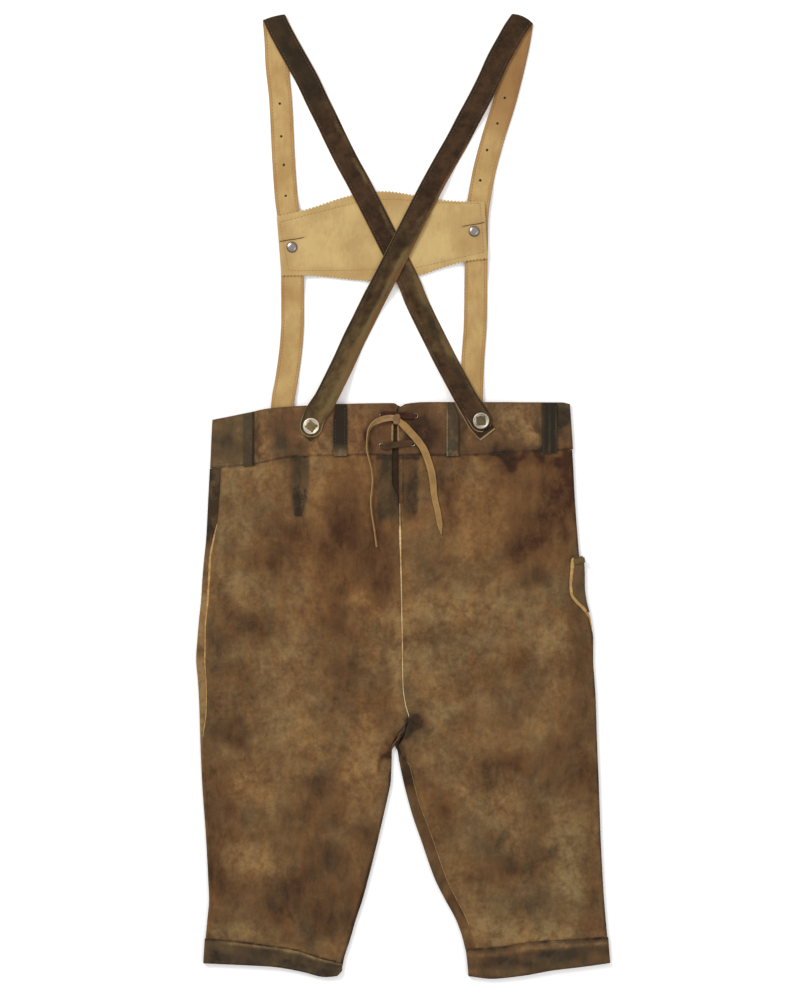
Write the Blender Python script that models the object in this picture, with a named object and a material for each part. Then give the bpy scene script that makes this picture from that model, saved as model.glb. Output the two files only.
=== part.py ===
"""Knee-length suede lederhosen with crossed shoulder straps, laid face down and flat.

The back is up.  X runs from the wearer's left to the right, Y from the hems to the
shoulders and Z up.  Lengths are in millimetres here and become metres in each mesh.
"""

import math
from bisect import bisect_right
from collections import namedtuple

import bmesh
import bpy
from mathutils import Vector

MM = 0.001

# Leathers
SUEDE = 1.6            # trouser panels
BAND = 2.0             # waistband and cuffs
STRAP = 1.8
STRAP_WIDTH = 27.3
BACKING = 1.4          # tan backing of the chest piece
TRIM = 1.4             # belt loops and the knife pocket
GAP = 0.35             # between pieces that touch
SEAM_GAP = 0.2         # from an upright seam's line to each panel beside it
CROSS_GAP = 0.4        # from the band's foot and the cuffs' seams to each piece beside them

# Layers: middles of the walls that lie on each other
FLOOR_MID = SUEDE / 2
TOP_MID = 4.6
FOLD = (TOP_MID - FLOOR_MID) / 2
BAND_FLOOR_MID = BAND / 2
BAND_TOP_MID = BAND_FLOOR_MID + 2 * FOLD
PANEL_TOP = TOP_MID + SUEDE / 2
BAND_TOP = BAND_TOP_MID + BAND / 2
ARC_STEPS = 4          # facets round each fold
SHARP = 40             # degrees: edges sharper than this stay sharp

# The waistband is raised where strap ends and buttons lie under and on it
Raised = namedtuple("Raised", "left right ramp")
RAISED = (Raised(-178, -94, 28), Raised(52, 120, 28))
RAISE = 4.2            # front layer, over the strap end and its button
BACK_SHARE = 0.75      # of that height reaches the back layer
RAISE_TOP = 60
RAISE_END = 15

# Outline of the trousers, worn sides
Side = namedtuple("Side", "y left right")
SIDES = (
    Side(113, -227, 199), Side(92, -229, 200.5), Side(44, -231.5, 204), Side(-4, -234, 206.5),
    Side(-52, -236.5, 210), Side(-76, -239, 212), Side(-100, -241, 214.5),
    Side(-124, -242.5, 217.5), Side(-148, -245, 223), Side(-172, -247, 228),
    Side(-196, -248.5, 228.5), Side(-220, -246.5, 230), Side(-244, -245, 231.5),
    Side(-292, -243.5, 233), Side(-340, -241.5, 235), Side(-412, -236.5, 237.5),
    Side(-460, -234, 240), Side(-484, -233, 241.5), Side(-508, -235, 243.5),
    Side(-544, -238.5, 247), Side(-562, -240, 249),
)
# Inner edges of the legs, from the crotch down
Inner = namedtuple("Inner", "y left right")
INNERS = (
    Inner(-266, 6.7, 7.3), Inner(-285, -2, -1), Inner(-296, -7.8, -5.4),
    Inner(-304, -12, -6.6), Inner(-316, -13, -5), Inner(-340, -14.5, 0), Inner(-364, -19, 6),
    Inner(-388, -24.5, 13), Inner(-412, -30, 21.5), Inner(-460, -42, 38.5),
    Inner(-484, -48.5, 50.5), Inner(-508, -56.5, 63.5), Inner(-532, -63.5, 72),
    Inner(-556, -71, 77), Inner(-578, -74.5, 79.5),
)
# Centre seam, shared by back and front below the flap
Centre = namedtuple("Centre", "y x")
CENTRES = (
    Centre(50, -4.5), Centre(-38, -3.5), Centre(-107, -2), Centre(-164, -1),
    Centre(-227, 0), Centre(-250, 3), Centre(-266, 7), Centre(-285, -1.5), Centre(-304, -9.5),
)
# Slit at the centre back: its middle and half its width
Slit = namedtuple("Slit", "y x half")
SLITS = (
    Slit(113, -4.8, 0.3), Slit(106, -5.5, 0.6), Slit(88, -8, 2.6), Slit(66, -9.5, 3.8),
    Slit(10, -9, 3.8), Slit(-20, -6.5, 1.6), Slit(-38, -3.5, 0.2), Slit(-60, -3, 0.2),
)
# Where the side seam lies on top, in from the outline
SeamIn = namedtuple("SeamIn", "y left right")
SEAMS_IN = (
    SeamIn(50, 14.4, 3.9), SeamIn(34, 14.2, 3.9), SeamIn(-27, 13, 3.9), SeamIn(-49, 9.6, 3.9),
    SeamIn(-72, 7.4, 3.9), SeamIn(-94, 8.2, 3.9), SeamIn(-152, 8.4, 3.9),
    SeamIn(-192, 10.7, 3.9), SeamIn(-222, 10, 3.9), SeamIn(-261, 8, 3.9),
    SeamIn(-291, 3.9, 3.9), SeamIn(-545, 3.9, 3.9),
)
# Flat run of the front panels on top of the legs, at the inseams
Inseam = namedtuple("Inseam", "y left right")
INSEAMS = (
    Inseam(-300, 0.8, 0.8), Inseam(-306, 0.9, 1), Inseam(-325, 2.5, 9), Inseam(-360, 6, 9.5),
    Inseam(-400, 7, 11.5), Inseam(-455, 7, 11.5), Inseam(-545, 6, 8.8),
)
CURL_START = -276      # the inner edges start to curl up here
CURL_END = -308        # and lie on the leg from here down
CENTRE_END = -268      # a back panel leaves the centre seam here
INSEAM_START = -284    # and follows the inseam from here down
SLIT_END = -60

# Edges across the garment
Edge = namedtuple("Edge", "x y")
BAND_TOPS = (
    Edge(-229, 91.6), Edge(-182, 101), Edge(-160, 105.5), Edge(-122, 108.4), Edge(-76, 110.8),
    Edge(-12, 112), Edge(-4.8, 107.5), Edge(1, 110.8), Edge(26, 113), Edge(190, 112.6),
    Edge(200, 110.8),
)
BAND_FEET = (
    Edge(-231, 33.5), Edge(-177, 39), Edge(-130, 48), Edge(-80, 49), Edge(-24, 50),
    Edge(8, 50), Edge(58, 49), Edge(150, 53.6), Edge(190, 56), Edge(205, 56),
)
BAND_TOP_Y = 112
BAND_FOOT = 50
BAND_SIDE_TOP = 92     # the band's ends at the sides, where its outline is read
BAND_SIDE_FOOT = 40
CUFF_TOPS_LEFT = (
    Edge(-237, -531), Edge(-212, -533), Edge(-168, -538.5), Edge(-130, -544),
    Edge(-102, -553), Edge(-72, -561),
)
CUFF_TOPS_RIGHT = (
    Edge(77, -544.2), Edge(114, -541.4), Edge(154, -534.8), Edge(198, -532.3),
    Edge(243, -529.6),
)
HEMS_LEFT = (
    Edge(-239, -560.5), Edge(-194, -562.5), Edge(-157, -564.5), Edge(-121, -570.5),
    Edge(-93, -576.8), Edge(-79, -575.5), Edge(-73, -568),
)
HEMS_RIGHT = (
    Edge(80, -576), Edge(106, -579), Edge(143, -575.5), Edge(180, -569), Edge(217, -564.5),
    Edge(249, -560),
)
CUFF_TOP = -540
CUFF_HEM = -562
CUFF_INNER_DROP = 6    # the hems lie this much lower at the inner edges
NEAR_BAND = -60        # rows bend towards the band above this
NEAR_CUFF = -430       # and towards the cuffs below this

# Heights of the panels' rows, three of them close round the flap's foot
LEVELS = (50, 33, 15, -8, -30, -52, -76, -100, -124, -138, -147.2, -147.8, -148.4, -176, -204, -232,
          -258, -274, -283, -291, -299, -308, -318, -332, -360, -400, -445, -490, CUFF_TOP)
FLAP_FOOT = -148
FLAP_MIDDLE = -8
Flap = namedtuple("Flap", "y half")
FLAPS = (Flap(50, 86), Flap(-90, 80), Flap(-118, 74), Flap(-136, 60), Flap(-148, 38))

# Large soft folds of the back
Drape = namedtuple("Drape", "x0 y0 x1 y1 rise spread")
DRAPES = (
    Drape(-118, 40, -122, -55, -1.0, 9),
    Drape(-24, -215, -62, -330, 0.9, 16),
    Drape(30, -262, 85, -350, -0.9, 15),
    Drape(-190, -105, -70, -180, 0.6, 30),
    Drape(60, -120, 165, -185, 0.6, 30),
    Drape(-205, -380, -95, -425, 0.8, 24),
    Drape(75, -400, 195, -375, 0.8, 24),
    Drape(-170, -470, -90, -505, -0.7, 18),
    Drape(120, -470, 215, -505, -0.7, 18),
)
CROWN = 0.4
STILL = (4, 26)        # the folds die out over this distance from an edge
STILL_TOP = 22         # and between the band's foot and this
STILL_FOOT = -515      # and between this and the cuffs

# Gusset behind the slit
Patch = namedtuple("Patch", "left right foot top")
GUSSET = Patch(-30, 14, -62, 98)
GUSSET_MID = 2.9
GUSSET_WALL = 1.1

# Straps: centre lines, heights of their middles, and the creases at the shoulders
Way = namedtuple("Way", "y x")
REAR_LEFT = (
    Way(551, -147), Way(523.5, -128), Way(499.5, -114.6), Way(475.5, -103.2),
    Way(451.5, -91.2), Way(427.5, -79.8), Way(403.5, -67.8), Way(379.5, -54.8),
    Way(287.8, -8.4), Way(253.6, 8.4), Way(235.6, 15.6), Way(211.6, 27), Way(187.6, 39),
    Way(163.6, 51), Way(139.6, 63.6), Way(115.6, 76.2), Way(89, 92.4), Way(74.2, 102),
)
REAR_RIGHT = (
    Way(559.5, 133.8), Way(547.5, 127), Way(523.5, 113.8), Way(499.5, 103), Way(475.5, 91),
    Way(451.5, 78), Way(427.5, 65.4), Way(403.5, 51.6), Way(379.5, 38.4), Way(287.8, -8.4),
    Way(253.6, -25.8), Way(235.6, -35.4), Way(211.6, -47.4), Way(187.6, -59.4),
    Way(163.6, -70.2), Way(139.6, -81.6), Way(115.6, -93.6), Way(98.8, -104.4),
    Way(84, -110), Way(66.4, -111),
)
FRONT_LEFT = (
    Way(545, -152.6), Way(523.5, -151.8), Way(475.5, -147), Way(403.5, -143.4),
    Way(361.5, -140.4), Way(310, -134), Way(259.5, -132.6), Way(211.6, -132.6),
    Way(187.6, -133.8), Way(139.6, -139.8), Way(115.6, -144), Way(66, -147.6),
)
FRONT_RIGHT = (
    Way(547.5, 139.5), Way(523.5, 134.4), Way(475.5, 122.4), Way(427.5, 107.4),
    Way(379.5, 95.4), Way(330, 88.6), Way(259.5, 87.6), Way(211.6, 87), Way(163.6, 84),
    Way(115.6, 82.2), Way(66, 81.6),
)
Height = namedtuple("Height", "y z")
REAR_LEFT_HEIGHTS = (
    Height(600, 3.9), Height(500, 3.9), Height(470, 2.2), Height(450, 0.95),
    Height(405, 0.95), Height(388, 2.6), Height(374, 4.6), Height(252, 4.6),
    Height(234, 2.5), Height(215, 0.95), Height(180, 0.95), Height(160, 2.9),
    Height(140, 6.6), Height(126, 9.6), Height(118, 10.3), Height(50, 10.3),
)
REAR_RIGHT_HEIGHTS = (
    Height(600, 3.9), Height(458, 3.9), Height(438, 1.7), Height(426, 0.95),
    Height(400, 0.95), Height(386, 2.6), Height(373, 4.6), Height(345, 4.6),
    Height(325, 6.8), Height(250, 6.8), Height(232, 3.2), Height(212, 0.95),
    Height(180, 0.95), Height(160, 2.9), Height(140, 6.6), Height(126, 9.6),
    Height(118, 10.3), Height(50, 10.3),
)
FRONT_LEFT_HEIGHTS = (
    Height(600, 0.9), Height(366, 0.9), Height(348, 2.86), Height(258, 2.86),
    Height(236, 0.9), Height(150, 0.9), Height(124, 3.0), Height(50, 3.0),
)
FRONT_RIGHT_HEIGHTS = (
    Height(600, 0.9), Height(378, 0.9), Height(360, 2.86), Height(276, 2.86),
    Height(254, 0.9), Height(150, 0.9), Height(124, 3.0), Height(50, 3.0),
)
Crease = namedtuple("Crease", "x y turn")       # middle of the outermost edge, degrees
CREASE_LEFT = Crease(-154.8, 574.1, 15)
CREASE_RIGHT = Crease(143, 572.4, -22)
LOOP = 1.5             # radius of the fold's middle
CREASE_REACH = 34      # length over which a strap's cross lines turn to the crease
FOLD_FACETS = 6        # round the fold at the shoulder
SLOPE_REACH = 2        # half the length over which a strap's direction is read
STATION = 15           # between a strap's rows
STATION_FINE = 7       # where its height changes
REAR_FINE = ((60, 84), (112, 184), (205, 262), (315, 350), (366, 408), (424, 505))
FRONT_FINE = ((118, 156), (230, 290), (340, 384))
Taper = namedtuple("Taper", "y share")
POINTED_END = (Taper(66.4, 0.5), Taper(70, 0.78), Taper(76, 0.97), Taper(80, 1), Taper(600, 1))
SQUARE_END = (Taper(66, 1), Taper(600, 1))

# Chest piece
CHEST_TOPS = (
    Edge(-152.5, 334.8), Edge(-120, 341.9), Edge(-60, 360.4), Edge(-24.6, 365), Edge(44.4, 354.8),
    Edge(72.8, 352.7), Edge(99, 353.3),
)
CHEST_FEET = (
    Edge(-147, 264.5), Edge(-117, 263.7), Edge(-40, 258), Edge(18, 264.3), Edge(74, 281.2),
    Edge(102.5, 285.4),
)
CHEST_LEFT_TOP = -152.5
CHEST_LEFT_FOOT = -147
CHEST_RIGHT_TOP = 99
CHEST_RIGHT_FOOT = 102.5
CHEST_FRONT_INSET = 1.6
BACKING_INSET = 1.0
TEETH = 60             # pinked points along each long edge
TOOTH = 1.9
BACKING_MID = 2.65
BACKING_RISE = 2.2     # over the front straps
BACKING_RISES = (Raised(-160, -117, 26), Raised(70, 110, 24))

# Hardware
Place = namedtuple("Place", "x y turn")
BUTTONS = {"left": Place(-110, 84, -38), "right": Place(93.4, 90.5, 4)}
FRONT_BUTTONS = {"left": Place(-147, 85, 0), "right": Place(82, 86, 0)}
SNAPS = {"left": Place(-133.3, 299, 0), "right": Place(85.3, 318, 0)}
EYELETS = (Place(-25.3, 96.7, 0), Place(14.9, 96.7, 0), Place(-25.7, 60.4, 0), Place(11.6, 63.2, 0))

# Sections of the turned pieces: radius and height
Turn = namedtuple("Turn", "radius height")
EYELET_SECTION = (Turn(1.9, 0), Turn(3.4, 0), Turn(3.4, 0.5), Turn(2.65, 0.95), Turn(1.9, 0.5))
EYELET_HEIGHT = 0.95
SNAP_SECTION = (Turn(0, 0), Turn(6.2, 0), Turn(6.3, 0.5), Turn(5.9, 1.3), Turn(4.6, 2.1),
                Turn(2.4, 2.6), Turn(0, 2.75))
BUTTON_SECTION = (Turn(0, 0), Turn(8.2, 0), Turn(9.5, 0.7), Turn(9.8, 1.5), Turn(9.3, 2.2),
                  Turn(8.4, 2.3), Turn(6.8, 1.6), Turn(4.6, 1.25), Turn(0, 1.2))
BUTTON_DISH = 1.25
THONG_SIZE = (8.6, 8.6, 1.3)
THONG_EASE = 0.4
FRONT_BUTTON_SECTION = (Turn(0, 0), Turn(8.8, 0), Turn(9.4, 0.6), Turn(9.2, 1.5), Turn(8.2, 1.75),
                        Turn(0, 1.75))

# Belt loops: middle, width, and how far each runs past the band's foot
Loop = namedtuple("Loop", "x width below cut_left cut_right")   # cuts: corners under straps
LOOPS = (Loop(-185, 12.6, 1.5, 0, 0), Loop(-75.4, 16, 0.8, 3.4, 0), Loop(59.8, 15, 0.8, 0, 6.6),
         Loop(175.8, 18, 1, 0, 0))
LOOP_CUT = 0.24        # share of a loop's length that a cut corner takes
LOOP_INSET = 0.6       # from the band's top edge
LOOP_GAP = 0.5         # from the band

# Lace
LACE = 1.3
LACE_WIDTH = 8.5
Route = namedtuple("Route", "x y z lean")
LACE_LEFT = (
    Route(-14.6, 94, 10.8, 0), Route(-22.8, 92.8, 10.5, 0), Route(-29, 90.6, 10.1, 5),
    Route(-35.5, 87.2, 9.4, 15), Route(-41.2, 81, 9.4, 32), Route(-44.2, 71.2, 10.2, 52),
    Route(-45, 61, 10.8, 66), Route(-44.4, 53, 10.8, 68), Route(-41.5, 44.5, 10.7, 68),
    Route(-38, 33, 10.5, 68), Route(-35.6, 20, 10.4, 68), Route(-36.6, 6, 10.4, 68),
    Route(-37.4, -6, 10.4, 68), Route(-35.8, -22, 10.4, 68), Route(-34.2, -36, 10.4, 68),
    Route(-32.6, -49, 10.4, 66), Route(-31.4, -60.6, 10.2, 62),
)
LACE_RIGHT = (
    Route(-0.4, 84.6, 10.6, 0), Route(5, 81.6, 9.0, 0), Route(11, 77.8, 7.6, 0),
    Route(16.8, 71.6, 7.0, 0), Route(21, 63.8, 7.0, 0), Route(24, 55.5, 7.3, 0),
    Route(27, 46.5, 7.6, 0), Route(31, 38, 7.6, 0), Route(34.4, 29, 7.4, 0),
    Route(36.6, 17, 7.0, 0), Route(38.2, 4, 6.75, 0), Route(40.2, -8, 6.75, 0),
    Route(42, -18, 6.75, 0), Route(43, -29, 6.75, 0), Route(44.9, -43.8, 6.75, 0),
)
KNOT = Place(-7.2, 91, 0)
KNOT_HALF = (6.2, 7.8, 2.3)
KNOT_SQUARE = 0.75     # below 1: squarer than a ball
Crossing = namedtuple("Crossing", "name x0 y0 x1 y1 sag")
CROSSINGS = (Crossing("lace_upper", -26.5, 96.7, 16, 96.7, 0),
             Crossing("lace_lower", -27, 60, 13, 63.4, 0.9))
CROSSING_NARROW = 1    # the crossings are pulled this much narrower

# Knife pocket on the right side: piping line on top, and how far its mouth gapes
Pocket = namedtuple("Pocket", "y inner gape")
POCKETS = (
    Pocket(-72, 204.5, 2.4), Pocket(-76, 203.4, 3.2), Pocket(-83, 202.2, 3.4),
    Pocket(-92, 201.5, 3.0), Pocket(-106, 200.6, 1.3), Pocket(-118, 201.8, 0.3),
    Pocket(-126, 207, 0.1), Pocket(-134, 214.5, 0), Pocket(-139, 217.6, 0),
)
POCKET_GAP = 0.5
POCKET_RADIUS = PANEL_TOP / 2 + POCKET_GAP + TRIM / 2
POCKET_FACETS = 5      # round the fold at the side
POCKET_TURN = 117.5    # degrees that the pouch bends round it
POCKET_EDGE = 1.4      # from the mouth's edge to the middle of its piping
TAB = Place(212.6, -79.5, -38)
TAB_SIZE = (8.6, 4.2, 1.2)
TAB_EASE = 0.35
PIPING_WIDTH = 2.4
PIPING_HEIGHT = 1.0
INSEAM_PIPING_WIDTH = 1.6
Run = namedtuple("Run", "top foot")
CENTRE_PIPING = Run(-40, -265)
SIDE_PIPING = Run(-30, -289)
INSEAM_PIPING = Run(-318, -512)


def read(table, key, column, at):
    """A column's value at a place on the key column, on a smooth curve without overshoot."""
    rows = sorted(table, key=lambda row: getattr(row, key))
    keys = [getattr(row, key) for row in rows]
    values = [getattr(row, column) for row in rows]
    at = min(max(at, keys[0]), keys[-1])
    secants = [(values[i + 1] - values[i]) / (keys[i + 1] - keys[i]) for i in range(len(keys) - 1)]
    slopes = [secants[0]]
    for before, after in zip(secants, secants[1:]):
        slopes.append(2 * before * after / (before + after) if before * after > 0 else 0.0)
    slopes.append(secants[-1])
    i = min(max(bisect_right(keys, at) - 1, 0), len(keys) - 2)
    span = keys[i + 1] - keys[i]
    t = (at - keys[i]) / span
    return ((2 * t**3 - 3 * t**2 + 1) * values[i] + (t**3 - 2 * t**2 + t) * span * slopes[i]
            + (3 * t**2 - 2 * t**3) * values[i + 1] + (t**3 - t**2) * span * slopes[i + 1])


def ramp(value, start, end):
    """0 at the start and 1 at the end, eased at both."""
    t = min(max((value - start) / (end - start), 0.0), 1.0)
    return t * t * (3 - 2 * t)


def mix(a, b, t):
    return a + (b - a) * t


def steps(start, end, count):
    return [mix(start, end, i / count) for i in range(count + 1)]


def rise_over(stretches, x):
    return max(ramp(x, s.left - s.ramp, s.left) * ramp(x, s.right + s.ramp, s.right)
               for s in stretches)


def raised(x, y):
    return RAISE * rise_over(RAISED, x) * ramp(y, RAISE_END, RAISE_TOP)


# ---------------------------------------------------------------- materials and meshes

def finish(name, colour, roughness, metallic=0.0):
    made = bpy.data.materials.new(name)
    made.use_nodes = True
    shader = made.node_tree.nodes["Principled BSDF"]
    shader.inputs["Base Color"].default_value = (*colour, 1)
    shader.inputs["Roughness"].default_value = roughness
    shader.inputs["Metallic"].default_value = metallic
    made.diffuse_color = (*colour, 1)
    return made


def place_mesh(name, made, material):
    """Turn a bmesh in millimetres into a named object in metres."""
    bmesh.ops.scale(made, vec=(MM, MM, MM), verts=made.verts)
    mesh = bpy.data.meshes.new(name)
    made.to_mesh(mesh)
    made.free()
    mesh.shade_smooth()
    mesh.set_sharp_from_angle(angle=math.radians(SHARP))
    mesh.materials.append(material)
    part = bpy.data.objects.new(name, mesh)
    bpy.context.scene.collection.objects.link(part)
    return part


def sheet(rows):
    """A grid laid through rows of points, with the same count in each."""
    across = len(rows[0]) - 1
    down = len(rows) - 1
    made = bmesh.new()
    bmesh.ops.create_grid(made, x_segments=across, y_segments=down, size=1)
    for vert in made.verts:
        column = round((vert.co.x + 1) / 2 * across)
        row = round((vert.co.y + 1) / 2 * down)
        vert.co = rows[row][column]
    return made


def wall(name, rows, thickness, material, ring=False, teeth=0.0):
    """A leather wall with its middle on the rows."""
    made = sheet(rows)
    if teeth:
        pink(made, rows, teeth)
    if ring:
        bmesh.ops.remove_doubles(made, verts=made.verts, dist=0.001)
    part = place_mesh(name, made, material)
    solid = part.modifiers.new("Thickness", "SOLIDIFY")
    solid.thickness = thickness * MM
    solid.offset = 0
    solid.use_even_offset = not ring
    return part


def pink(made, rows, depth):
    """Cut a row of points into the first and the last edge of a sheet."""
    made.verts.ensure_lookup_table()
    found = {tuple(round(c, 3) for c in vert.co): vert for vert in made.verts}
    for row, outward in ((rows[0], -1), (rows[-1], 1)):
        for a, b in zip(row, row[1:]):
            tip = made.verts.new((a + b) / 2 + Vector((0, outward * depth, 0)))
            corner_a = found[tuple(round(c, 3) for c in a)]
            corner_b = found[tuple(round(c, 3) for c in b)]
            order = (corner_a, corner_b, tip) if outward > 0 else (corner_b, corner_a, tip)
            made.faces.new(order)
    bmesh.ops.recalc_face_normals(made, faces=made.faces)


def turned(name, section, at, base, material, facets=20, ring=False):
    """A turned piece: its section, from the foot up, spun round a place."""
    made = bmesh.new()
    points = [made.verts.new((turn.radius, 0, turn.height)) for turn in section]
    edges = [made.edges.new(pair) for pair in zip(points, points[1:])]
    if ring:
        edges.append(made.edges.new((points[-1], points[0])))
    bmesh.ops.spin(made, geom=points + edges, cent=(0, 0, 0), axis=(0, 0, 1),
                   angle=math.tau, steps=facets, use_merge=True, use_duplicate=False)
    bmesh.ops.remove_doubles(made, verts=made.verts, dist=0.001)
    bmesh.ops.recalc_face_normals(made, faces=made.faces)
    bmesh.ops.translate(made, vec=(at.x, at.y, base), verts=made.verts)
    return place_mesh(name, made, material)


def block(name, size, at, base, material, soften):
    """A small box with eased edges, turned about Z."""
    made = bmesh.new()
    bmesh.ops.create_cube(made, size=1)
    bmesh.ops.scale(made, vec=size, verts=made.verts)
    bmesh.ops.bevel(made, geom=made.edges[:], offset=soften, segments=1, profile=0.5,
                    affect="EDGES", material=-1)
    turn = math.radians(at.turn)
    for vert in made.verts:
        x, y, z = vert.co
        vert.co = (at.x + x * math.cos(turn) - y * math.sin(turn),
                   at.y + x * math.sin(turn) + y * math.cos(turn), base + size[2] / 2 + z)
    return place_mesh(name, made, material)


# ---------------------------------------------------------------- trousers

def column_of(side):
    return "left" if side < 0 else "right"


def cuff_top(side, x):
    return read(CUFF_TOPS_LEFT if side < 0 else CUFF_TOPS_RIGHT, "x", "y", x)


def hem(side, x):
    return read(HEMS_LEFT if side < 0 else HEMS_RIGHT, "x", "y", x)


def row_y(side, level, x):
    """A row bends to the band's foot at the top and to the cuff's seam at the bottom."""
    near_band = ramp(level, NEAR_BAND, BAND_FOOT)
    near_cuff = ramp(level, NEAR_CUFF, CUFF_TOP)
    y = level + near_band * (read(BAND_FEET, "x", "y", x) - BAND_FOOT)
    return y + near_cuff * (cuff_top(side, x) - CUFF_TOP)


def outline_x(side, level):
    x = read(SIDES, "y", column_of(side), level)
    for _ in range(2):
        x = read(SIDES, "y", column_of(side), row_y(side, level, x))
    return x


def inner_x(side, level):
    x = read(INNERS, "y", column_of(side), level)
    for _ in range(2):
        x = read(INNERS, "y", column_of(side), row_y(side, level, x))
    return x


def side_seam_x(side, level):
    x = outline_x(side, level)
    return x - side * read(SEAMS_IN, "y", column_of(side), row_y(side, level, x))


def curl_at(level):
    return math.pi * ramp(level, CURL_START, CURL_END)


def back_inner_x(side, level):
    """Centre edge of a back panel: slit, centre seam, and then the inseam."""
    if level > SLIT_END:
        slit = side * read(SLITS, "y", "half", level)
        return read(SLITS, "y", "x", level) + slit
    centre = read(CENTRES, "y", "x", level) + side * SEAM_GAP
    run = read(INSEAMS, "y", column_of(side), level)
    leaning = SUEDE / 2 * (1 + math.sin(curl_at(level)))
    inseam = inner_x(side, level) + side * (FOLD + leaning + run + GAP)
    return mix(centre, inseam, ramp(level, CENTRE_END, INSEAM_START))


def drape(x, y):
    """Height that the large soft folds add."""
    total = CROWN
    for fold in DRAPES:
        run = Vector((fold.x1 - fold.x0, fold.y1 - fold.y0))
        to_point = Vector((x - fold.x0, y - fold.y0))
        along = min(max(to_point.dot(run) / run.length_squared, 0), 1)
        aside = (to_point - run * along).length
        total += fold.rise * math.exp(-(aside / fold.spread) ** 2)
    return total


def back_mid(x, y, from_edge, level):
    """Middle height of the back layer; the folds die out towards the seams."""
    share = ramp(from_edge, *STILL) * ramp(level, BAND_FOOT, STILL_TOP)
    share *= ramp(level, CUFF_TOP, STILL_FOOT)
    return TOP_MID + BACK_SHARE * raised(x, y) + drape(x, y) * share


def back_panel(side, material):
    rows = []
    for level in LEVELS:
        outer = side_seam_x(side, level) - side * SEAM_GAP
        inner = back_inner_x(side, level)
        row = []
        for x in steps(outer, inner, 12):
            y = row_y(side, level, x)
            y += -CROSS_GAP if level == LEVELS[0] else 0
            y += CROSS_GAP if level == LEVELS[-1] else 0
            from_edge = min(abs(x - outer), abs(x - inner))
            row.append(Vector((x, y, back_mid(x, y, from_edge, level))))
        rows.append(row)
    return wall("back_" + column_of(side), rows, SUEDE, material)


def front_inner_x(side, level):
    if level > FLAP_FOOT:
        return FLAP_MIDDLE + side * (read(FLAPS, "y", "half", level) + GAP)
    if level > CURL_START:
        return read(CENTRES, "y", "x", level) + side * SEAM_GAP
    return inner_x(side, level)


def fold_points(tangent, side, radius, low):
    """Points round a half turn from the floor run up, as (x, z) pairs."""
    for k in range(1, ARC_STEPS + 1):
        angle = math.pi * k / ARC_STEPS
        yield tangent + side * radius * math.sin(angle), low + radius * (1 - math.cos(angle))


def curled(length, curl):
    """A place along a strip that bends up by the curl angle: how far out, and how high."""
    bend = min(length / FOLD, curl)
    rest = length - FOLD * bend
    out = FOLD * math.sin(bend) + rest * math.cos(bend)
    return out, FOLD * (1 - math.cos(bend)) + rest * math.sin(bend)


def front_panel(side, material):
    """Floor run, folds at the side and below the crotch at the inseam, and their top runs."""
    rows = []
    for level in LEVELS:
        outer_tangent = outline_x(side, level) - side * (FOLD + SUEDE / 2)
        seam = side_seam_x(side, level) + side * SEAM_GAP
        curl = curl_at(level)
        run = read(INSEAMS, "y", column_of(side), level)
        half_turn = math.pi * FOLD
        lengths = [half_turn * k / ARC_STEPS for k in range(1, ARC_STEPS + 1)]
        lengths += [half_turn + run / 2, half_turn + run]
        reach = FOLD + SUEDE / 2
        if curl < math.pi / 2:
            reach = curled(lengths[-1], curl)[0] + SUEDE / 2 * math.sin(curl) + SEAM_GAP
        inner_tangent = front_inner_x(side, level) + side * reach
        flat = [(x, FLOOR_MID) for x in steps(outer_tangent, inner_tangent, 6)]
        outer = list(fold_points(outer_tangent, side, FOLD, FLOOR_MID))
        top = [(x, TOP_MID) for x in (mix(outer_tangent, seam, 0.5), seam)]
        inner = []
        for length in lengths:
            out, high = curled(length, curl)
            inner.append((inner_tangent - side * out, FLOOR_MID + high))
        row = []
        for x, z in top[::-1] + outer[::-1] + flat + inner:
            y = row_y(side, level, x)
            y += -CROSS_GAP if level == LEVELS[0] else 0
            y += CROSS_GAP if level == LEVELS[-1] else 0
            lift = raised(x, y) if z == FLOOR_MID else 0
            row.append(Vector((x, y, z + lift)))
        rows.append(row)
    return wall("front_" + column_of(side), rows, SUEDE, material)


def front_flap(material):
    rows = []
    for level in [level for level in LEVELS if level > FLAP_FOOT + GAP]:
        half = read(FLAPS, "y", "half", level)
        row = []
        for x in steps(FLAP_MIDDLE - half, FLAP_MIDDLE + half, 8):
            y = row_y(1 if x > 0 else -1, level, x) - (CROSS_GAP if level == LEVELS[0] else 0)
            row.append(Vector((x, y, FLOOR_MID + raised(x, y))))
        rows.append(row)
    return wall("front_flap", rows, SUEDE, material)


def band_y(x, share):
    top = read(BAND_TOPS, "x", "y", x)
    foot = read(BAND_FEET, "x", "y", x) + CROSS_GAP
    return mix(top, foot, share)


def waistband(side, material):
    """From the slit at the back, round the side, to the centre of the front."""
    rows = []
    for share in steps(0, 1, 3):
        middle = mix(BAND_TOP_Y, BAND_FOOT, share)
        edge = read(SIDES, "y", column_of(side), mix(BAND_SIDE_TOP, BAND_SIDE_FOOT, share))
        tangent = edge - side * (FOLD + BAND / 2)
        slit = read(SLITS, "y", "x", middle) + side * read(SLITS, "y", "half", middle)
        row = []
        for x in steps(slit, tangent, 20):
            y = band_y(x, share)
            row.append(Vector((x, y, BAND_TOP_MID + BACK_SHARE * raised(x, y))))
        for x, z in list(fold_points(tangent, side, FOLD, BAND_FLOOR_MID))[-2::-1]:
            row.append(Vector((x, band_y(x, share), z)))
        for x in steps(tangent, FLAP_MIDDLE + side * SEAM_GAP, 20):
            y = band_y(x, share)
            row.append(Vector((x, y, BAND_FLOOR_MID + raised(x, y))))
        rows.append(row)
    return wall("waistband_" + column_of(side), rows, BAND, material)


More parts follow.
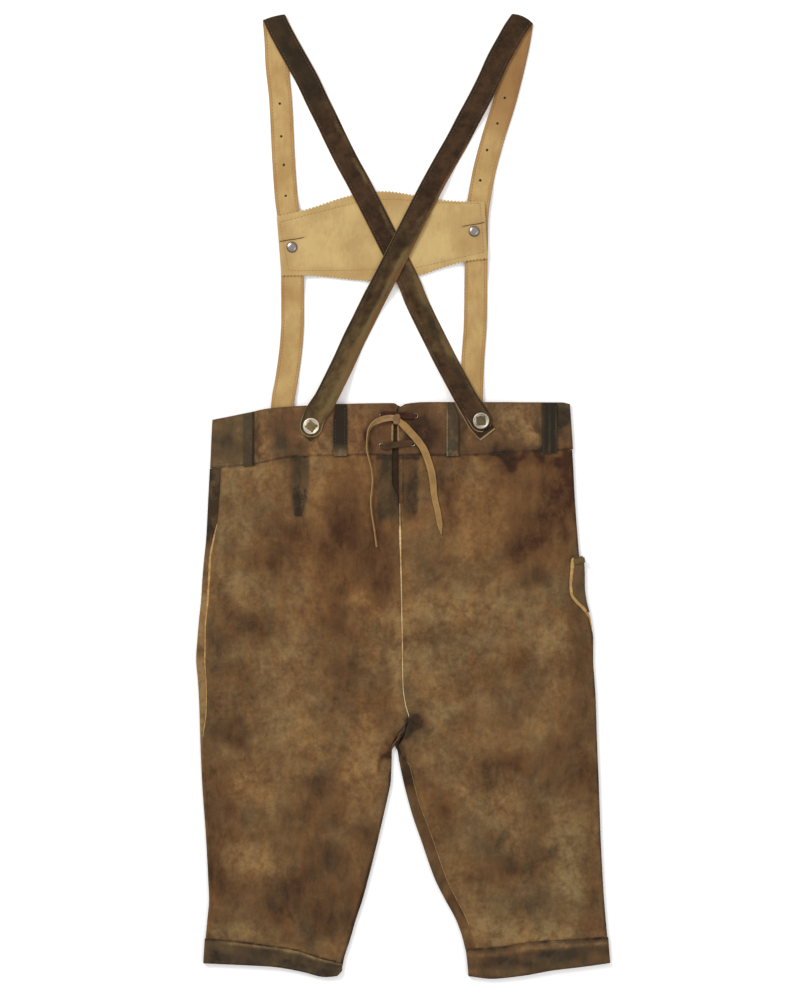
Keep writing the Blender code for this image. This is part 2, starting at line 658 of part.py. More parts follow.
def cuff_y(side, x, share):
    return mix(cuff_top(side, x) - CROSS_GAP, hem(side, x), share)


def cuff(side, material):
    """A flattened ring between the leg's seam and the hem."""
    rows = []
    reach = FOLD + BAND / 2
    for share in steps(0, 1, 3):
        level = mix(CUFF_TOP, CUFF_HEM, share)
        outer = read(SIDES, "y", column_of(side), level) - side * reach
        inner = read(INNERS, "y", column_of(side), level - CUFF_INNER_DROP) + side * reach
        top = [(x, BAND_TOP_MID) for x in steps(inner, outer, 10)]
        outer_fold = list(fold_points(outer, side, FOLD, BAND_FLOOR_MID))[-2::-1]
        floor = [(x, BAND_FLOOR_MID) for x in steps(outer, inner, 10)]
        inner_fold = list(fold_points(inner, -side, FOLD, BAND_FLOOR_MID))
        section = top + outer_fold + floor + inner_fold
        rows.append([Vector((x, cuff_y(side, x, share), z)) for x, z in section])
    return wall("cuff_" + column_of(side), rows, BAND, material, ring=True)


def back_gusset(material):
    rows = []
    for y in steps(GUSSET.top, GUSSET.foot, 8):
        rows.append([Vector((x, y, GUSSET_MID)) for x in steps(GUSSET.left, GUSSET.right, 3)])
    return wall("back_gusset", rows, GUSSET_WALL, material)


# ---------------------------------------------------------------- on the trousers

def band_height(x, y):
    return BAND_TOP + BACK_SHARE * raised(x, y)


def belt_loop(number, loop, material):
    rows = []
    for share in steps(0, 1, 5):
        cut = max(1 - share / LOOP_CUT, 0)
        left = loop.x - loop.width / 2 + loop.cut_left * cut
        right = loop.x + loop.width / 2 - loop.cut_right * cut
        row = []
        for x in steps(left, right, 3):
            top = read(BAND_TOPS, "x", "y", x) - LOOP_INSET
            foot = read(BAND_FEET, "x", "y", x) - loop.below
            y = mix(top, foot, share)
            row.append(Vector((x, y, band_height(x, y) + LOOP_GAP + TRIM / 2)))
        rows.append(row)
    return wall("belt_loop_%d" % number, rows, TRIM, material)


def piping(name, line, material, width=PIPING_WIDTH, base=PANEL_TOP):
    """A raised strip of leather along points (x, y) on the panels."""
    rows = []
    for i, (x, y) in enumerate(line):
        before = Vector(line[max(i - 1, 0)])
        after = Vector(line[min(i + 1, len(line) - 1)])
        along = (after - before).normalized()
        aside = Vector((along.y, -along.x, 0)) * width / 2
        middle = Vector((x, y, base + GAP + PIPING_HEIGHT / 2))
        rows.append([middle - aside, middle + aside])
    return wall(name, rows, PIPING_HEIGHT, material)


def centre_line():
    top, foot = CENTRE_PIPING
    inside = [level for level in LEVELS if foot + 3 < level < top - 3]
    return [(read(CENTRES, "y", "x", y), y) for y in [top] + inside + [foot]]


def side_line():
    line = []
    for level in [level for level in LEVELS if SIDE_PIPING.foot <= level <= SIDE_PIPING.top]:
        x = side_seam_x(-1, level)
        line.append((x, row_y(-1, level, x)))
    return line


def inseam_line():
    line = []
    for level in [level for level in LEVELS if INSEAM_PIPING.foot <= level <= INSEAM_PIPING.top]:
        x = back_inner_x(1, level) - GAP / 2
        line.append((x, row_y(1, level, x)))
    return line


def pocket_line():
    return [(pocket.inner + POCKET_EDGE, pocket.y) for pocket in POCKETS[:-1]]


def knife_pocket(material):
    """A pouch over the right side, bent round the fold, its mouth standing out a little."""
    rows = []
    for pocket in POCKETS:
        edge = read(SIDES, "y", "right", pocket.y)
        centre = edge - PANEL_TOP / 2 + pocket.gape
        high = PANEL_TOP / 2 + POCKET_RADIUS
        row = [Vector((x, pocket.y, high)) for x in steps(pocket.inner, centre, 3)]
        for k in range(1, POCKET_FACETS + 1):
            angle = math.radians(90 - POCKET_TURN * k / POCKET_FACETS)
            row.append(Vector((centre + POCKET_RADIUS * math.cos(angle), pocket.y,
                               PANEL_TOP / 2 + POCKET_RADIUS * math.sin(angle))))
        rows.append(row)
    return wall("knife_pocket", rows, TRIM, material)


def eyelet(number, at, material):
    base = band_height(at.x, at.y) + GAP
    return turned("eyelet_%d" % number, EYELET_SECTION, at, base, material, facets=12, ring=True)


def ribbon(name, route, width, thickness, material, across=1):
    """A flat lace along a route; lean turns it on to its edge, in degrees."""
    rows = []
    for i, place in enumerate(route):
        before = Vector(route[max(i - 1, 0)][:2])
        after = Vector(route[min(i + 1, len(route) - 1)][:2])
        along = (after - before).normalized()
        lean = math.radians(place.lean)
        aside = Vector((along.y * math.cos(lean), -along.x * math.cos(lean), math.sin(lean)))
        middle = Vector((place.x, place.y, place.z))
        rows.append([middle + aside * width * share for share in steps(-0.5, 0.5, across)])
    return wall(name, rows, thickness, material)


def lace_pieces(material):
    over_eyelet = BAND_TOP + GAP + EYELET_HEIGHT + GAP + LACE / 2 + GAP / 4
    for name, x0, y0, x1, y1, sag in CROSSINGS:
        route = []
        for share in steps(0, 1, 6):
            high = over_eyelet - sag * math.sin(math.pi * share)
            route.append(Route(mix(x0, x1, share), mix(y0, y1, share), high, 0))
        ribbon(name, route, LACE_WIDTH - CROSSING_NARROW, LACE, material)
    ribbon("lace_end_left", smooth_route(LACE_LEFT), LACE_WIDTH, LACE, material)
    ribbon("lace_end_right", smooth_route(LACE_RIGHT), LACE_WIDTH, LACE, material)
    made = bmesh.new()
    bmesh.ops.create_uvsphere(made, u_segments=14, v_segments=8, radius=1)
    half_x, half_y, half_z = KNOT_HALF
    middle = over_eyelet + LACE / 2 + GAP + half_z
    for vert in made.verts:
        x, y, z = (math.copysign(abs(c) ** KNOT_SQUARE, c) for c in vert.co)
        vert.co = (KNOT.x + half_x * x, KNOT.y + half_y * y, middle + half_z * z)
    place_mesh("lace_knot", made, material)


def smooth_route(route):
    """The route with a point added between each pair, on one smooth curve."""
    dense = []
    last = len(route) - 1
    for i in range(last):
        a, b = route[max(i - 1, 0)], route[i]
        c, d = route[i + 1], route[min(i + 2, last)]
        dense.append(b)
        dense.append(Route(*((9 * (q + r) - p - s) / 16 for p, q, r, s in zip(a, b, c, d))))
    dense.append(route[last])
    return dense


# ---------------------------------------------------------------- straps and chest piece

def crease_frame(crease):
    """Middle of the fold's tangent line, its outward normal and its direction."""
    turn = math.radians(crease.turn)
    along = Vector((math.cos(turn), math.sin(turn), 0))
    normal = Vector((-math.sin(turn), math.cos(turn), 0))
    tangent = Vector((crease.x, crease.y, 0)) - normal * (LOOP + STRAP / 2)
    return tangent, normal, along


def cross_line(centre, travel, crease_along, share, half, places):
    """Places across a strap, -1 to 1; share turns the line towards the crease."""
    square = Vector((travel.y, -travel.x, 0))
    line = square.lerp(crease_along, share).normalized()
    reach = half / line.dot(square)
    return [centre + line * reach * place for place in places]


def travel_at(table, y):
    rise = read(table, "y", "x", y + SLOPE_REACH) - read(table, "y", "x", y - SLOPE_REACH)
    return Vector((rise, 2 * SLOPE_REACH, 0)).normalized()


def strap_levels(low, high, fine):
    """Stations up a strap, closer where it bends."""
    levels = [low]
    while levels[-1] < high - STATION / 2 - SLOPE_REACH:
        y = levels[-1]
        near = any(start <= y < end for start, end in fine)
        levels.append(y + (STATION_FINE if near else STATION))
    levels.append(high)
    return levels


def rear_strap(name, table, heights, crease, taper, material):
    tangent, normal, along = crease_frame(crease)
    places = (-1, 0, 1)
    table = (Way(tangent.y, tangent.x),) + table
    low = table[-1].y
    rows = []
    for y in strap_levels(low, tangent.y, REAR_FINE):
        centre = Vector((read(table, "y", "x", y), y, 0))
        share = ramp(y, tangent.y - CREASE_REACH, tangent.y)
        half = STRAP_WIDTH / 2 * read(taper, "y", "share", y)
        travel = travel_at(table, min(y, tangent.y - SLOPE_REACH))
        row = cross_line(centre, travel, along, share, half, places)
        for point in row:
            level = mix(point.y, y, share)
            point.z = read(heights, "y", "z", level)
        rows.append(row)
    travel = travel_at(table, tangent.y - SLOPE_REACH)
    drift = travel.dot(along) / travel.dot(normal)
    half = STRAP_WIDTH / 2 / Vector((travel.y, -travel.x, 0)).dot(along)
    for k in range(1, FOLD_FACETS + 1):
        angle = math.pi * k / FOLD_FACETS
        centre = tangent + normal * LOOP * math.sin(angle) + along * drift * LOOP * angle
        centre.z = STRAP / 2 + LOOP + LOOP * math.cos(angle)
        rows.append([centre + along * half * place for place in places])
    wall(name, rows, STRAP, material)
    return tangent + along * drift * LOOP * math.pi, normal, along


def front_strap(name, table, heights, fold, material):
    start, normal, along = fold
    start = start - normal * (GAP + SEAM_GAP)
    table = (Way(start.y, start.x),) + table
    low = table[-1].y
    rows = []
    for y in strap_levels(low, start.y, FRONT_FINE):
        centre = Vector((read(table, "y", "x", y), y, 0))
        share = ramp(y, start.y - CREASE_REACH, start.y)
        travel = travel_at(table, min(y, start.y - SLOPE_REACH))
        row = cross_line(centre, travel, along, share, STRAP_WIDTH / 2, (-1, 1))
        for point in row:
            point.z = read(heights, "y", "z", mix(point.y, y, share))
        rows.append(row)
    wall(name, rows, STRAP, material)


def chest_layer(name, inset, columns, rows_count, thickness, height, material, teeth=0.0):
    rows = []
    for share in steps(0, 1, rows_count):
        left = mix(CHEST_LEFT_FOOT, CHEST_LEFT_TOP, share) + inset
        right = mix(CHEST_RIGHT_FOOT, CHEST_RIGHT_TOP, share) - inset
        row = []
        for x in steps(left, right, columns):
            foot = read(CHEST_FEET, "x", "y", x) + inset
            top = read(CHEST_TOPS, "x", "y", x) - inset
            row.append(Vector((x, mix(foot, top, share), height(x))))
        rows.append(row)
    return wall(name, rows, thickness, material, teeth=teeth)


def backing_height(x):
    return BACKING_MID + BACKING_RISE * rise_over(BACKING_RISES, x)


def chest_floor(x):
    return FLOOR_MID


def snap(name, at, material):
    base = backing_height(at.x) + BACKING / 2 + GAP
    return turned(name, SNAP_SECTION, at, base, material, facets=16)


def rear_button(name, at, metal, leather):
    """A dished disc with a leather thong through it."""
    base = REAR_LEFT_HEIGHTS[-1].z + STRAP / 2 + GAP
    turned("button_" + name, BUTTON_SECTION, at, base, metal)
    block("button_thong_" + name, THONG_SIZE, at, base + BUTTON_DISH + GAP, leather, THONG_EASE)


def build():
    for old in list(bpy.data.objects):
        bpy.data.objects.remove(old, do_unlink=True)

    suede = finish("suede", (0.165, 0.102, 0.050), 0.92)
    band = finish("waistband suede", (0.155, 0.098, 0.046), 0.9)
    strap = finish("strap leather", (0.050, 0.035, 0.022), 0.7)
    tan = finish("tan leather", (0.52, 0.33, 0.13), 0.75)
    trim = finish("piping leather", (0.50, 0.33, 0.16), 0.7)
    thong = finish("lace leather", (0.26, 0.15, 0.06), 0.75)
    dark = finish("dark loop leather", (0.062, 0.046, 0.032), 0.85)
    steel = finish("bright metal", (0.72, 0.69, 0.64), 0.3, 1.0)

    for side in (-1, 1):
        back_panel(side, suede)
        front_panel(side, suede)
        waistband(side, band)
        cuff(side, band)
    front_flap(suede)
    back_gusset(dark)

    for number, loop in enumerate(LOOPS, 1):
        belt_loop(number, loop, dark if number in (2, 4) else band)
    piping("piping_centre", centre_line(), trim)
    piping("piping_side", side_line(), trim)
    piping("piping_inseam", inseam_line(), trim, width=INSEAM_PIPING_WIDTH)
    knife_pocket(suede)
    pocket_top = PANEL_TOP + POCKET_GAP + TRIM
    piping("piping_pocket", pocket_line(), trim, base=pocket_top)
    block("pocket_tab", TAB_SIZE, TAB, pocket_top + GAP, trim, TAB_EASE)

    for number, at in enumerate(EYELETS, 1):
        eyelet(number, at, steel)
    lace_pieces(thong)

    fold = rear_strap("strap_rear_left", REAR_LEFT, REAR_LEFT_HEIGHTS, CREASE_LEFT, SQUARE_END,
                      strap)
    front_strap("strap_front_left", FRONT_LEFT, FRONT_LEFT_HEIGHTS, fold, tan)
    fold = rear_strap("strap_rear_right", REAR_RIGHT, REAR_RIGHT_HEIGHTS, CREASE_RIGHT, POINTED_END,
                      strap)
    front_strap("strap_front_right", FRONT_RIGHT, FRONT_RIGHT_HEIGHTS, fold, tan)

    chest_layer("chest_front", CHEST_FRONT_INSET, 12, 3, SUEDE, chest_floor, suede)
    chest_layer("chest_backing", BACKING_INSET, TEETH, 2, BACKING, backing_height, tan,
                teeth=TOOTH)
    for name, at in SNAPS.items():
        snap("snap_" + name, at, steel)
    for name, at in BUTTONS.items():
        rear_button(name, at, steel, strap)
    for name, at in FRONT_BUTTONS.items():
        turned("front_button_" + name, FRONT_BUTTON_SECTION, at, 0, dark)


build()
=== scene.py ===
"""Suede lederhosen with crossed straps, laid face down: leather, stitching, metal and light.

Lengths are in millimetres until a mesh is placed.  X runs to the wearer's right, Y towards
the shoulders and Z up, and each piece lies where the solid that it stands for lies.
"""

import math
from bisect import bisect_right
from functools import lru_cache

import bmesh
import bpy
import numpy as np
from mathutils import Matrix, Vector, noise
from mathutils.bvhtree import BVHTree


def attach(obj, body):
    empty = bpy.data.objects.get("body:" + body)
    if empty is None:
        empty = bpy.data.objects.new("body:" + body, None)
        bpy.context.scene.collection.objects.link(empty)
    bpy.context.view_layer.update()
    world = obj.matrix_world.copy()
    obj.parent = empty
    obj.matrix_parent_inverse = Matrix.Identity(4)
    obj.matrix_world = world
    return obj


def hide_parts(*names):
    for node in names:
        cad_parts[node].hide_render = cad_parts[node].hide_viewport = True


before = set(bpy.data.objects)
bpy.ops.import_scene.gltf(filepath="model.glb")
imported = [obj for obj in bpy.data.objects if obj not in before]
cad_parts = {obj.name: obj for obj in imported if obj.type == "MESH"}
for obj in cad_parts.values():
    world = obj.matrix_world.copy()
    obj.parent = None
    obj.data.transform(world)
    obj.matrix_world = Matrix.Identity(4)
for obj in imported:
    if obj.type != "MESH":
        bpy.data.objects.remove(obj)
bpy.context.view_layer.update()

MM = 0.001

# Camera, straight above
LENS = 85
SENSOR = 36
SEEN = 1.2              # metres along the picture's long side
LOOK_AT = Vector((-0.0036, -0.0044, 0.005))

# Leathers
SUEDE = 1.6
BAND = 2.0
STRAP = 1.8
STRAP_WIDTH = 27.3
BACKING = 1.4
TRIM = 1.4
LACE = 1.3
LACE_WIDTH = 8.5
GAP = 0.35
SEAM_GAP = 0.2
BUTTED = 0.04           # between two panels that meet edge to edge
POCKET_GAP = 0.5
LOOP_GAP = 0.5

# Layers: middles of the walls that lie on each other
FLOOR_MID = SUEDE / 2
TOP_MID = 4.6
FOLD = (TOP_MID - FLOOR_MID) / 2
BAND_FLOOR_MID = BAND / 2
BAND_TOP_MID = BAND_FLOOR_MID + 2 * FOLD
PANEL_TOP = TOP_MID + SUEDE / 2
BAND_TOP = BAND_TOP_MID + BAND / 2
CROWN = 0.4

# The waistband is raised over the strap ends and buttons: left, right, ramp
RAISED = ((-178, -94, 28), (52, 120, 28))
RAISE = 4.2
BACK_SHARE = 0.75
RAISE_TOP = 60
RAISE_END = 15

# Outline of the trousers: y, left, right
SIDES = (
    (113, -227, 199), (92, -229, 200.5), (44, -231.5, 204), (-4, -234, 206.5),
    (-52, -236.5, 210), (-76, -239, 212), (-100, -241, 214.5), (-124, -242.5, 218.3),
    (-148, -245, 224.6), (-172, -247, 228.5), (-196, -248.5, 228.5), (-220, -246.5, 230),
    (-244, -245, 231.5), (-292, -243.5, 233), (-340, -241.5, 235), (-412, -236.5, 237.5),
    (-460, -234, 240), (-484, -233, 241.5), (-508, -235, 243.5), (-544, -238.5, 247),
    (-562, -240, 249),
)
# Inner edges of the legs: y, left, right
INNERS = (
    (-266, 6.7, 6.95), (-285, -2.2, -1.9), (-296, -8.2, -7.9), (-300, -10.4, -9.9),
    (-304, -13.2, -7), (-316, -13.6, -5), (-340, -14.5, 0), (-364, -19, 6),
    (-388, -24.5, 13), (-412, -30, 21.5), (-460, -42, 38.5), (-484, -48.5, 50.5),
    (-508, -56.5, 63.5), (-532, -63.5, 72), (-556, -71, 77), (-578, -74.5, 79.5),
)
# Centre seam: y, x
CENTRES = (
    (50, -4.5), (-38, -3.5), (-107, -2), (-164, -1), (-227, 0), (-250, 3), (-266, 7),
    (-285, -1.5), (-304, -9.5),
)
# Slit at the centre back: y, middle, half its width
SLITS = (
    (113, -5.4, 0.3), (106, -6.4, 0.6), (98, -8, 2), (90, -9.2, 3.7), (66, -9.2, 4),
    (16, -9, 4.1), (10, -8.4, 3.4), (5, -7, 1.8), (0, -5.6, 0.7), (-20, -4.4, 0.25),
    (-38, -3.4, 0.2), (-60, -3, 0.2),
)
# Side seams on top, in from the outline: y, left, right
SEAMS_IN = (
    (50, 14.4, 3.9), (34, 14.2, 3.9), (-27, 13, 3.9), (-49, 9.6, 3.9), (-72, 7.4, 3.9),
    (-94, 8.2, 3.9), (-152, 8.4, 3.9), (-192, 10.7, 3.9), (-222, 10, 3.9), (-261, 8, 3.9),
    (-291, 3.9, 3.9), (-545, 3.9, 3.9),
)
# Run of the front panels on top of the legs at the inseams: y, left, right
INSEAMS = (
    (-300, 0.8, 0.8), (-306, 0.9, 1), (-325, 2.5, 9), (-360, 6, 9.5), (-400, 7, 11.5),
    (-455, 7, 11.5), (-545, 6, 8.8),
)
CURL_START = -276
CURL_END = -308
CENTRE_END = -268
INSEAM_START = -284
SLIT_END = -60

# Edges across the garment: x, y
BAND_TOPS = (
    (-229, 91.6), (-182, 101), (-160, 105.5), (-122, 108.4), (-76, 110.8), (-11, 111.8),
    (-3.6, 107.5), (3, 110.8), (26, 113), (190, 112.6), (200, 110.8),
)
BAND_FEET = (
    (-231, 33.5), (-177, 39), (-130, 48), (-80, 49), (-24, 50), (8, 50), (58, 49),
    (150, 53.6), (190, 56), (205, 56),
)
BAND_TOP_Y = 112
BAND_FOOT = 50
BAND_SIDE_TOP = 92
BAND_SIDE_FOOT = 40
CUFF_TOPS = {
    -1: ((-237, -531), (-212, -533), (-168, -538.5), (-130, -544), (-102, -553), (-72, -561)),
    1: ((77, -544.2), (114, -541.4), (154, -534.8), (198, -532.3), (243, -529.6)),
}
HEMS = {
    -1: ((-239, -560.5), (-194, -562.5), (-157, -564.5), (-121, -570.5), (-93, -576.8),
         (-79, -575.5), (-73, -568)),
    1: ((80, -576), (106, -579), (143, -575.5), (180, -569), (217, -564.5), (249, -560)),
}
CUFF_TOP = -540
CUFF_HEM = -562
CUFF_INNER_DROP = 6
NEAR_BAND = -60
NEAR_CUFF = -430
FLAP_FOOT = -148
FLAP_MIDDLE = -8
FLAPS = ((50, 86), (-90, 80), (-118, 74), (-136, 60), (-148, 38))

# Large soft folds of the back: x0, y0, x1, y1, rise, spread
DRAPES = (
    (-118, 40, -122, -55, -1.0, 9), (-24, -215, -62, -330, 0.9, 16),
    (30, -262, 85, -350, -0.9, 15), (-190, -105, -70, -180, 0.6, 30),
    (60, -120, 165, -185, 0.6, 30), (-205, -380, -95, -425, 0.8, 24),
    (75, -400, 195, -375, 0.8, 24), (-170, -470, -90, -505, -0.7, 18),
    (120, -470, 215, -505, -0.7, 18),
)
# Smaller creases, in the same columns
CREASES = (
    (-14, -302, -34, -312, 1.0, 4), (-18, -309, -34, -318, -0.8, 4),
    (-35, -312, -32, -328, 0.9, 3), (-44, -303, -52, -326, 0.4, 5),
    (-235, -456, -138, -459, -0.35, 4), (-62, -20, -84, -62, 0.3, 8),
    (6, -286, 30, -322, 0.5, 6), (95, -300, 210, -355, 0.35, 12),
    (-200, -150, -150, -162, -0.3, 9), (20, -172, 78, -180, -0.25, 7),
    (150, -52, 196, -92, 0.3, 9), (-40, -120, -6, -130, 0.3, 6),
    (110, -505, 205, -498, 0.35, 8), (-190, 20, -160, -60, 0.25, 12), (60, 30, 92, -40, 0.25, 12),
    (-178, -290, -120, -318, -0.3, 8), (40, -420, 110, -452, -0.35, 8),
)
# Folds start this far in from a panel's sides, and end at these levels
STILL = (4, 26)
STILL_TOP = 22
STILL_FOOT = -515
SEAM_DIP = 0.75         # the panels roll down this far into a seam,
PRESSED_DIP = 0.12      # and this far where the seam is pressed flat
SEAM_REACH = 1.5
HEM_REACH = 1.4
WELT_SUNK = 0.42
SEAM_STEP = 0.22        # from a seam across the garment to the pieces on both sides of it
PANEL_ROWS = 214
CUFF_HIGH = 24          # heights down which these sheets' rows are spaced
LOOP_HIGH = 64
CHEST_HIGH = 86

# Straps: y, x of the middle line
REAR = {
    -1: ((561, -148.4), (551, -143.2), (544, -139.4), (526.8, -129.8), (499.5, -114.6),
         (475.5, -103.2), (451.5, -91.2), (427.5, -79.8), (403.5, -67.8), (379.5, -54.8),
         (287.8, -8.4), (253.6, 8.4), (235.6, 15.6), (211.6, 27), (187.6, 39), (163.6, 51),
         (139.6, 63.6), (115.6, 76.2), (100, 84.6), (89, 90.9), (80, 96.8), (73.7, 101.6)),
    1: ((559.5, 133.8), (547.5, 127), (523.5, 113.8), (499.5, 103), (475.5, 91), (451.5, 78),
        (427.5, 65.4), (403.5, 51.6), (379.5, 38.4), (287.8, -8.4), (253.6, -25.8),
        (235.6, -35.4), (211.6, -47.4), (187.6, -59.4), (163.6, -70.2), (139.6, -81.6),
        (115.6, -93.6), (98.8, -104.4), (84, -110), (66.4, -111)),
}
FRONT = {
    -1: ((545, -152.6), (523.5, -151.8), (475.5, -147), (403.5, -143.4), (361.5, -140.4),
         (310, -134), (259.5, -132.6), (211.6, -132.6), (187.6, -133.8), (139.6, -139.8),
         (115.6, -144), (66, -147.6)),
    1: ((547.5, 139.5), (523.5, 134.4), (475.5, 122.4), (427.5, 107.4), (379.5, 95.4),
        (330, 88.6), (259.5, 87.6), (211.6, 87), (163.6, 84), (115.6, 82.2), (66, 81.6)),
}
# and the height of their middles: y, z
REAR_HEIGHTS = {
    -1: ((600, 3.9), (500, 3.9), (470, 2.2), (450, 0.95), (405, 0.95), (388, 2.6), (374, 4.6),
         (252, 4.6), (234, 2.5), (215, 0.95), (180, 0.95), (160, 2.9), (140, 6.6), (126, 9.6),
         (118, 10.3), (50, 10.3)),
    1: ((600, 3.9), (458, 3.9), (438, 1.7), (426, 0.95), (400, 0.95), (386, 2.6), (373, 4.6),
        (345, 4.6), (325, 6.8), (250, 6.8), (232, 3.2), (212, 0.95), (180, 0.95), (160, 2.9),
        (140, 6.6), (126, 9.6), (118, 10.3), (50, 10.3)),
}
FRONT_HEIGHTS = {
    -1: ((600, 0.9), (366, 0.9), (348, 2.86), (258, 2.86), (236, 0.9), (150, 0.9), (124, 3.0),
         (50, 3.0)),
    1: ((600, 0.9), (378, 0.9), (360, 2.86), (276, 2.86), (254, 0.9), (150, 0.9), (124, 3.0),
        (50, 3.0)),
}
# Shares of a lining's width at its end, blunt at the right button and pointed at the left:
# y, share
ENDS = {-1: ((73.7, 0.81), (80, 0.9), (90, 1), (600, 1)),
        1: ((65.4, 0.04), (67.2, 0.26), (69.5, 0.45), (71.3, 0.6), (75, 0.8), (80, 0.93),
            (86, 1), (600, 1))}
# Folds at the shoulders: x and y of each fold's outer edge, and its turn in degrees
SHOULDERS = {-1: (-154.8, 575.7, 15), 1: (143.4, 574, -25)}
BOWS = {-1: 0.9, 1: 2.6}        # how far the middle of each fold stands out past its ends
LOOP = 1.5
CREASE_REACH = 34
ROUND_ROWS = 16         # rows of a strap's round end
LAYER = 0.8             # each of a strap's two layers
LAYER_MID = 0.47        # its middle, from the strap's middle
OUTER_HALF = 13.2
LINING_HALF = STRAP_WIDTH / 2
SEWN_AT = 10.3          # from a strap's middle line to the sewing beside each edge
STRAP_PITCH = 4.1
# Shares across a strap, closer at the edges and the sewing
ACROSS = (-1, -0.97, -0.92, -0.86, -0.81, -0.775, -0.74, -0.69, -0.6, -0.45, -0.25, 0,
          0.25, 0.45, 0.6, 0.69, 0.74, 0.775, 0.81, 0.86, 0.92, 0.97, 1)

# Chest piece: x, y of its top and foot
CHEST_TOPS = (
    (-152.5, 336), (-120, 343.1), (-60, 361.6), (-24.6, 366.2), (44.4, 356), (72.8, 353.9),
    (99, 354.5),
)
CHEST_FEET = (
    (-147, 264.5), (-117, 264.9), (-40, 259.2), (18, 265.2), (46, 274.1), (74, 281.7),
    (102.5, 285.4),
)
CHEST_ENDS = ((-147, -152.5), (102.5, 99))      # foot and top, at the left and the right
CHEST_FRONT_INSET = 1.6
BACKING_INSET = 1.0
TEETH = 60
TOOTH = 1.9
BACKING_MID = 2.65
BACKING_RISE = 2.2
BACKING_RISES = ((-160, -117, 26), (70, 110, 24))
CHEST_SEAM = (
    (-136.8, 270.6), (-148, 328.6), (-102, 341), (-57.6, 352.7), (-34, 356.4), (-9.6, 356.8),
    (40, 352.6), (92.4, 351.2), (97, 293.2), (60, 284.4), (10.6, 273.4), (-60, 271.6),
    (-136.8, 270.6),
)
CHEST_SLITS = (((-149.4, 305.4), (-117.6, 310.8)), ((70, 323.3), (98.9, 328.9)))
CHEST_FOLDS = (
    (-86, 337, -68, 297, 0.6, 2.5), (-81, 337, -63, 297, -0.35, 3),
    (-45, 330, -58, 345, 0.35, 3), (-96, 322, -60, 290, 0.3, 6), (-20, 345, 10, 300, 0.3, 8),
    (-126, 330, -84, 296, -0.3, 5), (-60, 340, -20, 290, -0.25, 6), (18, 338, 60, 300, 0.3, 5),
    (-150, 312, -120, 318, 0.35, 4), (66, 330, 98, 336, 0.3, 4),
    (20, 345, 45, 330, -0.3, 5), (-110, 286, -84, 275, -0.35, 4), (50, 300, 78, 296, 0.3, 6),
)

CHEST_SWELLS = ((0.35, 45, 2.9), (0.15, 15, 5.5))

# Punched holes of the front runs: x, y
PUNCHED = {-1: ((-148, 471.8), (-146.3, 432.5), (-143.2, 398.2), (-140.9, 360.6)),
           1: ((122.2, 478.7), (113.5, 448), (101, 416), (92.8, 379.6))}

# Buttons at the back: x, y, turn; and the holes in each from its middle
BUTTONS = {-1: (-110, 84, -38), 1: (93.4, 90.5, 4)}
BUTTON_HOLES = {-1: ((4.4, 4.3), (4.2, -4.2)), 1: ((0.2, 4.6), (-1.6, 4.4))}
# Smaller round pieces: x, y
FRONT_BUTTONS = {-1: (-147, 85), 1: (82, 86)}
SNAPS = {-1: (-133.3, 299), 1: (85.3, 318)}
EYELETS = ((-25.3, 96.7), (14.9, 96.7), (-25.7, 60.4), (11.6, 63.2))
# Belt loops: x, width, past the band's foot, corners cut at the left and the right
LOOPS = ((-185, 12.6, 1.5, 0, 0), (-75.4, 16, 0.8, 3.4, 0), (59.8, 15, 0.8, 0, 6.6),
         (175.8, 18, 4.2, 0, 0))
LOOP_CUT = 0.24         # how far down a loop its cut corners reach, as a share
LOOP_INSET = 0.6
LOOP_SEWN = 2.3         # from a loop's side to its sewing
# Knife pocket: y, its inner edge, and how far its mouth gapes
POCKETS = (
    (-72, 204.5, 2.4), (-76, 203.4, 3.2), (-83, 202.2, 3.4), (-92, 201.5, 3.0),
    (-106, 200.6, 1.3), (-118, 201.8, 0.3), (-126, 207, 0.1), (-134, 214.5, 0),
    (-139, 217.6, 0),
)
POCKET_RADIUS = PANEL_TOP / 2 + POCKET_GAP + TRIM / 2
POCKET_TURN = 117.5

# Lace ends from the knot: x, y, z, lean on to the edge in degrees
LACE_ENDS = {
    -1: ((-8.5, 93.2, 11.2, 0), (-14.6, 94, 10.9, 0), (-22.8, 92.8, 10.5, 6),
         (-29, 90.6, 10.1, 22), (-35.5, 87, 9.7, 48), (-40.4, 81, 9.6, 66), (-42.6, 71.6, 9.6, 74),
         (-43.2, 61, 9.6, 76), (-42.6, 53, 9.4, 76), (-40.4, 44.5, 9.2, 76), (-37.6, 33, 8.8, 76),
         (-36.2, 20, 8.5, 76), (-37.2, 6, 8.5, 76), (-38.4, -6, 8.5, 76), (-37, -22, 8.5, 76),
         (-34.8, -36, 8.5, 76), (-33, -49, 8.4, 74), (-31.4, -60.6, 8.3, 70)),
    1: ((-5.2, 90.5, 11.2, 0), (-1.8, 87.6, 11, 0), (1.8, 84.3, 10.4, 0), (5.8, 80.2, 9.6, 0),
        (10.4, 75.2, 8.9, 0), (14.9, 70.2, 8.5, 0), (19.6, 64.4, 8.2, 0), (23.9, 58.2, 7.7, 0),
        (27.2, 51, 7.5, 0), (29.8, 43.6, 7.6, 0), (32.2, 36, 7.6, 0), (34.3, 28, 7.4, 0),
        (36, 17, 7.0, 0), (37, 4, 6.75, 0), (39.2, -8, 6.75, 0), (41.6, -18, 6.75, 0),
        (43.4, -29, 6.75, 0), (46, -46, 6.75, 0)),
}
KNOT = (-7.6, 92.4)
OVER_EYELET = BAND_TOP + GAP + 0.95 + GAP + LACE / 2 + GAP / 4

